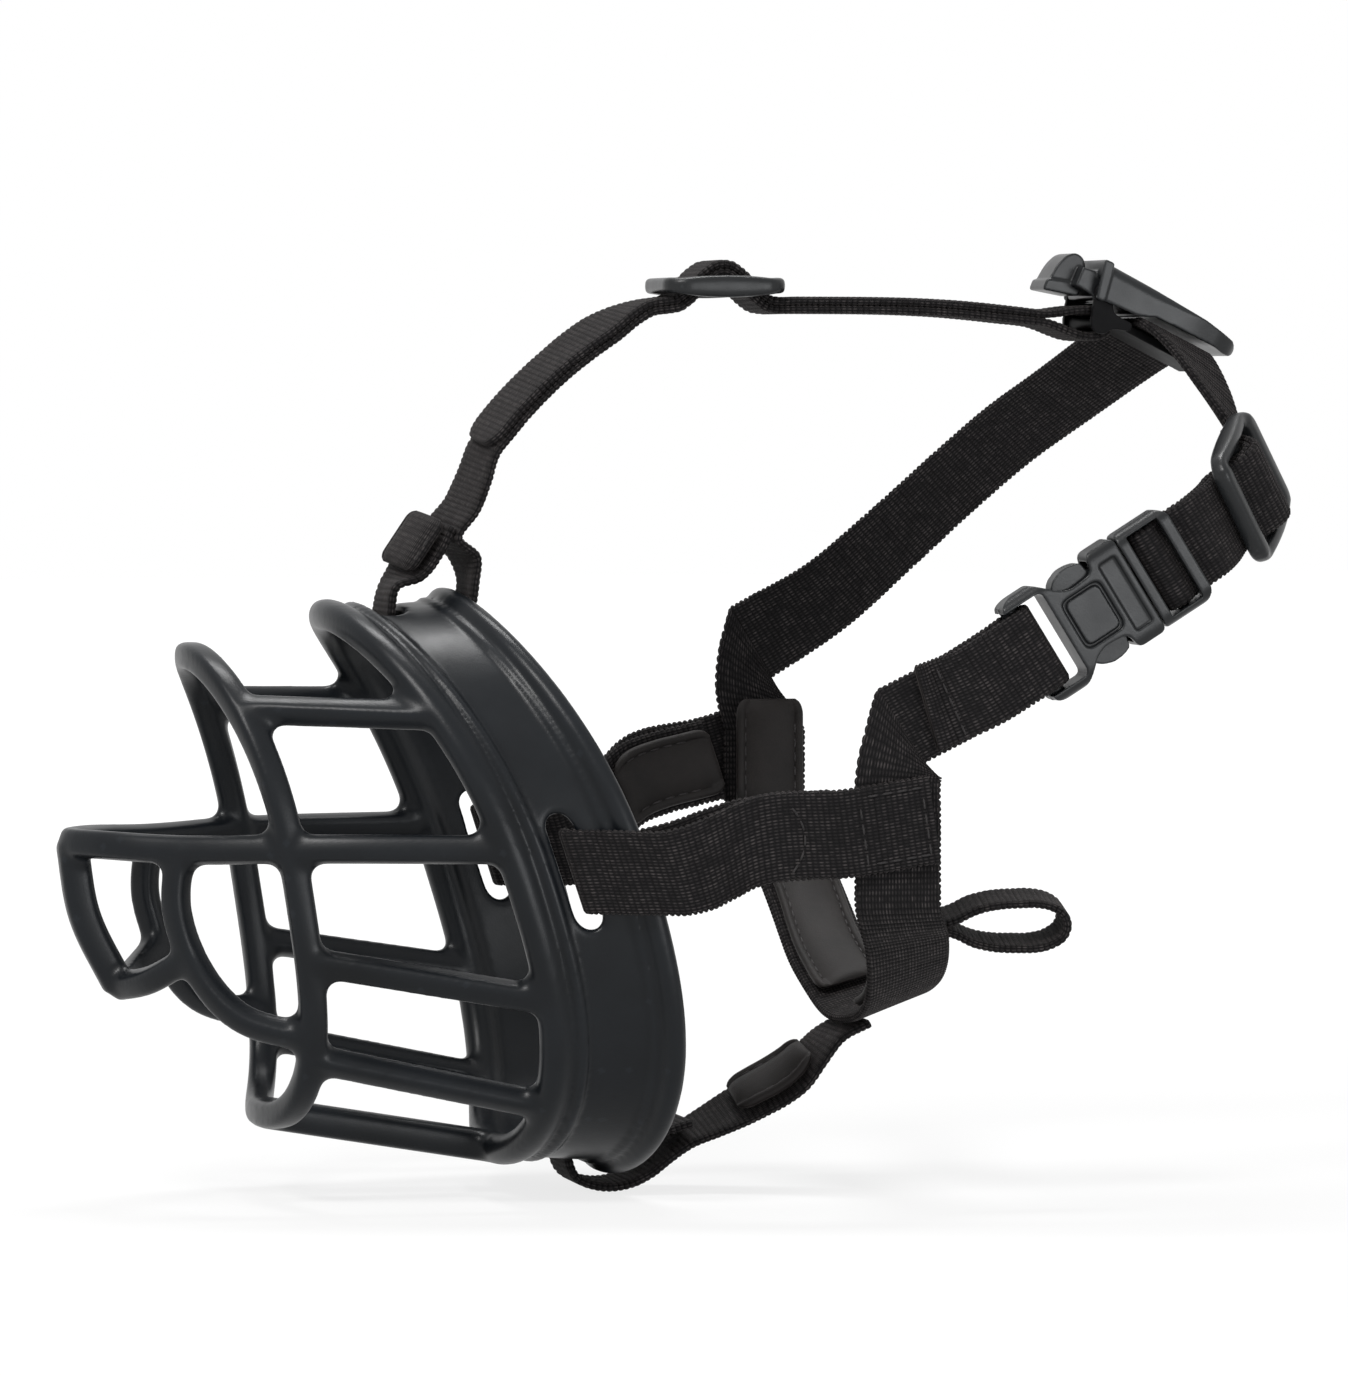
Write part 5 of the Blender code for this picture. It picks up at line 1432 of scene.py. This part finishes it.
def make_clip_base(stand):
    half = CLIP_WIDTH / 2
    top = CROWN_Z - WEB_THICKNESS / 2 - CLEARANCE
    low = top - 1.5 * MM
    heel = CLIP_HEEL - CLEARANCE
    bar_low = (CLIP_BAR - CLIP.centre).dot(CLIP.z) - CLIP_BAR_RADIUS - 0.7 * MM
    ear = scaled([(-1.7, 0), (-1, 1.6), (1, 1.6), (1.8, 0)])
    ear += [(3.4 * MM, top), (heel, top), (heel, low), (4.4 * MM, -5.4 * MM)]
    ear += [(3.4 * MM, bar_low), (1 * MM, bar_low), (0, -5.4 * MM)]
    floor = rectangle(5.6 * MM, low, CLIP_HEEL + WEB_WIDTH, top)
    base = plate("clip_base_skin", floor, 3 * MM - half, half - 3 * MM, stand)
    cross = rectangle(5.4 * MM, low + 0.1 * MM, heel - 0.1 * MM, top - 0.1 * MM)
    reach = CLIP.y * (half - 0.5 * MM)
    cut(base, "UNION", [
        plate("ear_near", rounded(ear, 1 * MM), half - CLIP_EAR, half, stand),
        plate("ear_far", rounded(ear, 1 * MM), -half, CLIP_EAR - half, stand),
        plate("cross", cross, CLEARANCE - half, half - CLEARANCE, stand),
        rod("clip_bar", CLIP_BAR - reach, CLIP_BAR + reach, CLIP_BAR_RADIUS),
    ])
    pin_way = CLIP.y * (half + 1 * MM)
    bore = CLIP_PIN_RADIUS + CLEARANCE
    cut(base, "DIFFERENCE", [rod("bore", CLIP.centre - pin_way, CLIP.centre + pin_way, bore)])
    # The base wears the darker copy of the buckle plastic, with painted shade from the lever.
    dress(moulded(base, SMALL_VOXEL, 3), "buckle_plastic", "harness", "clip_base", look="clip_base")


def make_clip_lever(stand, flat):
    """The jaw with side skirts over the base's ears, a tilted collar and a thumb block."""
    half = CLIP_WIDTH / 2
    skirt = half + 1.1 * MM
    hub = half - CLIP_EAR - CLEARANCE
    jaw = (CROWN_Z + WEB_THICKNESS / 2 + 2 * CLEARANCE) / MM
    wedge = scaled([
        (-2.2, 4.9), (-0.3, -1.7), (1.6, -1.6), (7.4, -1.2), (9.9, jaw), (10.6, jaw + 0.4), (23.2, 0.5),
        (25.6, 0.2), (27.2, 0.5), (27.9, 1.4), (27.7, 2.3), (26.6, 3.2), (20, 4.1), (8, 4.7),
    ])
    lever = plate("clip_lever_skin", rounded(wedge, 0.9 * MM), -skirt, skirt, stand)
    plan = scaled([(-4, 11.1), (10, 11.1), (18, 10.9), (24, 10), (26.6, 8.7), (28, 6.4), (28.6, 3)])
    plan = plan + [(x, -y) for x, y in reversed(plan)]
    cut(lever, "INTERSECT", [
        plate("plan", rounded(plan, 2 * MM), -20 * MM, 20 * MM, flat),
        clip_cushion("cushion", 11.15 * MM),
    ])
    collar = rounded(scaled([(-2.9, 5.2), (-1.1, -2.0), (0.5, -1.9), (-0.9, 5.3)]), 0.5 * MM)
    thumb = rounded(scaled([
        (-8.8, -4.1), (-9.1, -1.9), (-8.9, 1.2), (-8, 3.6), (-6.6, 4.7),
        (-4.9, 4.4), (-3.6, 2.8), (-2.9, 0), (-2.9, -2.3),
    ]), 1.8 * MM)
    sole = rounded(scaled([(-9.4, -4.3), (-9.6, -2.1), (-3.2, 0), (-2.8, -2.4)]), 0.6 * MM)
    neck = scaled([(-5.2, 2.4), (-5, -1.2), (0, -1.5), (1.6, -0.9), (1.6, 3.6)])
    wide = THUMB_WIDTH / 2
    cut(lever, "UNION", [
        plate("collar", collar, -skirt - 0.35 * MM, skirt + 0.35 * MM, stand),
        plate("neck", neck, -hub, hub, stand),
        plate("thumb", thumb, -wide, wide, stand),
        plate("thumb_sole", sole, -wide - 0.4 * MM, wide + 0.4 * MM, stand),
    ])
    pin_way = CLIP.y * (half + CLEARANCE)
    cuts = [rod("lever_bore", CLIP.centre - pin_way, CLIP.centre + pin_way, CLIP_PIN_RADIUS + CLEARANCE)]
    for side in (-1, 1):
        room = sorted((side * hub, side * (half + CLEARANCE)))
        cuts.append(block("ear_room", (-4 * MM, room[0], -9 * MM), (8.3 * MM, room[1], 2.1 * MM), flat))
    cuts.append(block("heel_room", (1.7 * MM, -hub, -9 * MM), (8.3 * MM, hub, jaw * MM), flat))
    cut(lever, "DIFFERENCE", cuts)
    dress(moulded(lever, SMALL_VOXEL, 4), "buckle_plastic", "clip_jaw", "clip_lever")


def clip_cushion(name, half_wide):
    """A long round-sided bar that gives the jaw its bellied sides."""
    path = [CLIP.at((-5 + 35 * k / 6) * MM, 0, 0.9 * MM) for k in range(7)]
    return joined(name, [bar(path, half_wide, 4.6 * MM, lambda p: p - np.array(CLIP.z), power=5, count=56)])


# Side-release buckle

def pillow(name, x_low, x_high, half_wide, half_deep):
    """A long bar with round edges that shapes a buckle's rails."""
    section = rounded(rectangle(-half_wide, -half_deep, half_wide, half_deep), 3.1 * MM, 10)
    matrix = Matrix((BUCKLE.y, BUCKLE.z, BUCKLE.x)).transposed().to_4x4()
    matrix.translation = BUCKLE.centre
    return plate(name, section, x_low, x_high, matrix)


BUCKLE_STAND = BUCKLE.matrix()
BUCKLE_DEEP = BUCKLE_THICKNESS / 2


def across_buckle(name, x, half_wide, z, radius):
    return rod(name, BUCKLE.at(x, -half_wide, z), BUCKLE.at(x, half_wide, z), radius)


def face_panel(name, x_low, x_high, half_wide, corner, low, high):
    """A rounded plate on the buckle's outer face, between depths from that face."""
    outline = rounded(rectangle(x_low * MM, -half_wide * MM, x_high * MM, half_wide * MM), corner * MM)
    return plate(name, outline, BUCKLE_DEEP + low * MM, BUCKLE_DEEP + high * MM, BUCKLE_STAND)


def make_socket():
    stand, deep = BUCKLE_STAND, BUCKLE_DEEP
    gap = WEB_WIDTH / 2 + SIDE_CLEARANCE
    ends = gap + BUCKLE_RAIL
    rails = ends + 0.3 * MM
    waist = BUCKLE_MOUTH - 3.8 * MM
    shape = (
        (0, BUCKLE_MOUTH), (0.242, BUCKLE_MOUTH), (0.275, waist + 0.4 * MM), (0.47, waist),
        (0.56, waist + 0.9 * MM), (0.63, BUCKLE_MOUTH - 1.2 * MM),
        (0.72, rails), (0.9, rails), (1, ends - 0.6 * MM),
    )
    outline = [(-share * SOCKET_LENGTH, y) for share, y in shape]
    outline = rounded(outline + [(x, -y) for x, y in reversed(outline)], 1.2 * MM)
    socket = plate("socket_skin", outline, -deep, deep, stand)
    cut(socket, "INTERSECT", [pillow("rails", -SOCKET_LENGTH - 1 * MM, 1 * MM, rails, deep)])
    room_wide = BUCKLE_MOUTH - BUCKLE_WALL
    room_deep = deep - BUCKLE_FACE
    low, high = (-0.625 * SOCKET_LENGTH, -room_wide, -room_deep), (1 * MM, room_wide, room_deep)
    notch = rounded(rectangle(-SOCKET_LENGTH - 6 * MM, -gap, SLIT_EDGE, gap), 1.2 * MM)
    cut(socket, "DIFFERENCE", [
        block("cavity", low, high, stand),
        plate("notch", notch, -2 * deep, 2 * deep, stand),
        face_panel("recess", -4.9, -1.3, 6.9, 0.6, -0.6, 1),
        face_panel("panel", -14.4, -6, 5, 1.6, -0.7, 1),
    ])
    cut(socket, "UNION", [
        across_buckle("socket_bar", SOCKET_BAR_X, gap + 1 * MM, 0, BUCKLE_BAR_RADIUS),
        face_panel("inner_panel", -13.7, -6.7, 4.3, 1.3, -0.9, -0.1),
    ])
    dress(moulded(socket, SMALL_VOXEL, 3), "buckle_plastic", "harness", "buckle_socket")


def make_plug():
    stand, deep = BUCKLE_STAND, BUCKLE_DEEP
    outline = [(0.3, 9.8), (9.4, 9.8), (11, 8.2), (11, -8.2), (9.4, -9.8), (0.3, -9.8)]
    plug = plate("plug_skin", rounded(scaled(outline), 1.2 * MM), -deep, deep, stand)
    cut(plug, "INTERSECT", [pillow("plug_rails", -1 * MM, PLUG_LENGTH + 1 * MM, BUCKLE_MOUTH, deep)])
    side = WEB_WIDTH / 2 + CLEARANCE
    bar_low = PLUG_LIE + WEB_THICKNESS / 2 + CLEARANCE
    far_wall = PLUG_LENGTH - PLUG_END_BAR
    cut(plug, "DIFFERENCE", [
        block("window", (PLUG_WALL, -side, -2 * deep), (far_wall, side, 2 * deep), stand),
        block("under", (PLUG_WALL + MM, -side, -2 * deep), (PLUG_LENGTH + MM, side, bar_low), stand),
    ])
    cut(plug, "UNION", [
        block("tongue", (-10 * MM, -2.4 * MM, -1.6 * MM), (1 * MM, 2.4 * MM, 1.6 * MM), stand),
        across_buckle("plug_bar", PLUG_BAR_X, side + 1 * MM, PLUG_BAR_Z, PLUG_BAR_RADIUS),
    ])
    dress(moulded(plug, SMALL_VOXEL, 3), "buckle_plastic", "plug", "buckle_plug")


def make_prongs():
    root_x, root_y, root = -1.5 * MM, BUCKLE_MOUTH - 4.2 * MM, 1.1 * MM
    shape = (
        (0.279, 3.0), (0.292, 0.9), (0.375, 0.3), (0.458, 0.2),
        (0.554, 1.1), (0.604, 2.6), (0.592, 3.8), (0.292, 4.9),
    )
    arm = [(-share * SOCKET_LENGTH, BUCKLE_MOUTH - inset * MM) for share, inset in shape]
    for angle in range(0, 181, 45):
        turn = math.radians(angle)
        arm.append((root_x + root * math.sin(turn), root_y - root * math.cos(turn)))
    thick = BUCKLE_DEEP - BUCKLE_FACE - CLEARANCE
    for name, way in (("upper", 1), ("lower", -1)):
        outline = rounded([(x, y * way) for x, y in arm], 0.8 * MM)
        prong = plate(f"prong_{name}_skin", outline, -thick, thick, BUCKLE_STAND)
        dress(moulded(prong, SMALL_VOXEL, 4), "buckle_plastic", f"{name}_prong", f"buckle_prong_{name}")


# Stage

def make_stage():
    """A pale floor that glows towards the eye and keeps some of the object's shadow."""
    corners = [(x * FLOOR_SIZE, y * FLOOR_SIZE, 0) for x, y in ((-1, -1), (1, -1), (1, 1), (-1, 1))]
    mesh = bpy.data.meshes.new("floor")
    mesh.from_pydata(corners, [], [(0, 1, 2, 3)])
    floor = new_object("floor", mesh)
    floor.location.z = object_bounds()[0].z - FLOOR_DROP
    paint = Paint("floor_look").set(Base_Color=(0.92, 0.92, 0.92, 1), Roughness=0.9)
    away = paint.join(paint.place_of(), paint.node("ShaderNodeVectorMath", operation="LENGTH"), 0)
    level = paint.remap(away.outputs["Value"], *FLOOR_GLOW, *FLOOR_GLOW_REACH)
    glow = paint.join(level, paint.node("ShaderNodeEmission"), "Strength")
    rays = paint.node("ShaderNodeLightPath").outputs
    seen = paint.math("MAXIMUM", rays["Is Camera Ray"], rays["Is Glossy Ray"])
    mix = paint.node("ShaderNodeMixShader")
    parts = (paint.math("MULTIPLY", seen, FLOOR_GLOW_SHARE), paint.shader, glow)
    for spot, part in enumerate(parts):
        paint.join(part, mix, spot)
    paint.join(mix, paint.tree.nodes["Material Output"], 0)
    mesh.materials.append(paint.material)


def make_world():
    """White to the eye and in reflections, and dimmer as light."""
    world = bpy.data.worlds.new("studio")
    bpy.context.scene.world = world
    world.use_nodes = True
    nodes = Nodes(world.node_tree)
    back = nodes.tree.nodes["Background"]
    back.inputs["Color"].default_value = (1, 1, 1, 1)
    rays = nodes.node("ShaderNodeLightPath").outputs
    seen = nodes.math("MAXIMUM", rays["Is Camera Ray"], rays["Is Glossy Ray"])
    seen = nodes.math("MAXIMUM", seen, rays["Is Transmission Ray"])
    nodes.join(nodes.remap(seen, WORLD_LIGHT, 1.0), back, "Strength")


def make_lights():
    for name, spot, (length, width), power, colour in LAMPS:
        data = bpy.data.lights.new(name, "AREA")
        data.shape = "RECTANGLE"
        data.size = length
        data.size_y = width
        data.energy = power
        data.color = colour
        obj = new_object(name, data)
        obj.location = spot
        obj.rotation_mode = "QUATERNION"
        obj.rotation_quaternion = (Vector(LAMP_AIM) - Vector(spot)).to_track_quat("-Z", "Y")


def make_camera():
    turn_sin, turn_cos = math.sin(PHOTO_TURN), math.cos(PHOTO_TURN)
    rise_sin, rise_cos = math.sin(PHOTO_RISE), math.cos(PHOTO_RISE)
    right = Vector((turn_cos, -turn_sin, 0))
    up = Vector((turn_sin * rise_sin, turn_cos * rise_sin, rise_cos))
    back = Vector((-turn_sin * rise_cos, -turn_cos * rise_cos, rise_sin))
    data = bpy.data.cameras.new("photo_camera")
    data.sensor_width = SENSOR
    data.lens = PHOTO_FOCUS_PIXELS * SENSOR / PHOTO_HEIGHT_PIXELS
    data.clip_start = 0.05
    data.clip_end = 50
    camera = new_object("photo_camera", data)
    matrix = Matrix((right, up, back)).transposed().to_4x4()
    matrix.translation = right * PHOTO_MIDDLE[0] + up * PHOTO_MIDDLE[1] + back * CAMERA_DISTANCE
    camera.matrix_world = matrix
    bpy.context.scene.camera = camera


def make_thread():
    thread = joined("stitching", stitch_lines(SEAMS))
    dress(shade(thread, 80), "webbing", "harness", look="thread")


def main():
    make_camera()
    make_basket()
    make_cheeks()
    make_throat()
    make_near_neck()
    make_loop()
    make_tab()
    make_thread()
    make_head_strap()
    make_neck_strap()
    make_slider("head_slider_skin", "head_slider", "head_adjuster", HEAD_SLIDER, HEAD_SLIDER_BROAD)
    make_slider("neck_slider_skin", "neck_slider", "neck_adjuster", NECK_SLIDER, NECK_SLIDER_BROAD)
    make_clip_base(CLIP.upright())
    make_clip_lever(CLIP.upright(), CLIP.matrix())
    make_socket()
    make_plug()
    make_prongs()
    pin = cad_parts["clip_pin"]
    pin.data.materials.clear()
    pin.data.materials.append(PAINTS["steel"].material)
    make_world()
    make_lights()
    bpy.context.scene.view_settings.view_transform = "Standard"
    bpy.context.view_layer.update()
    make_stage()


main()
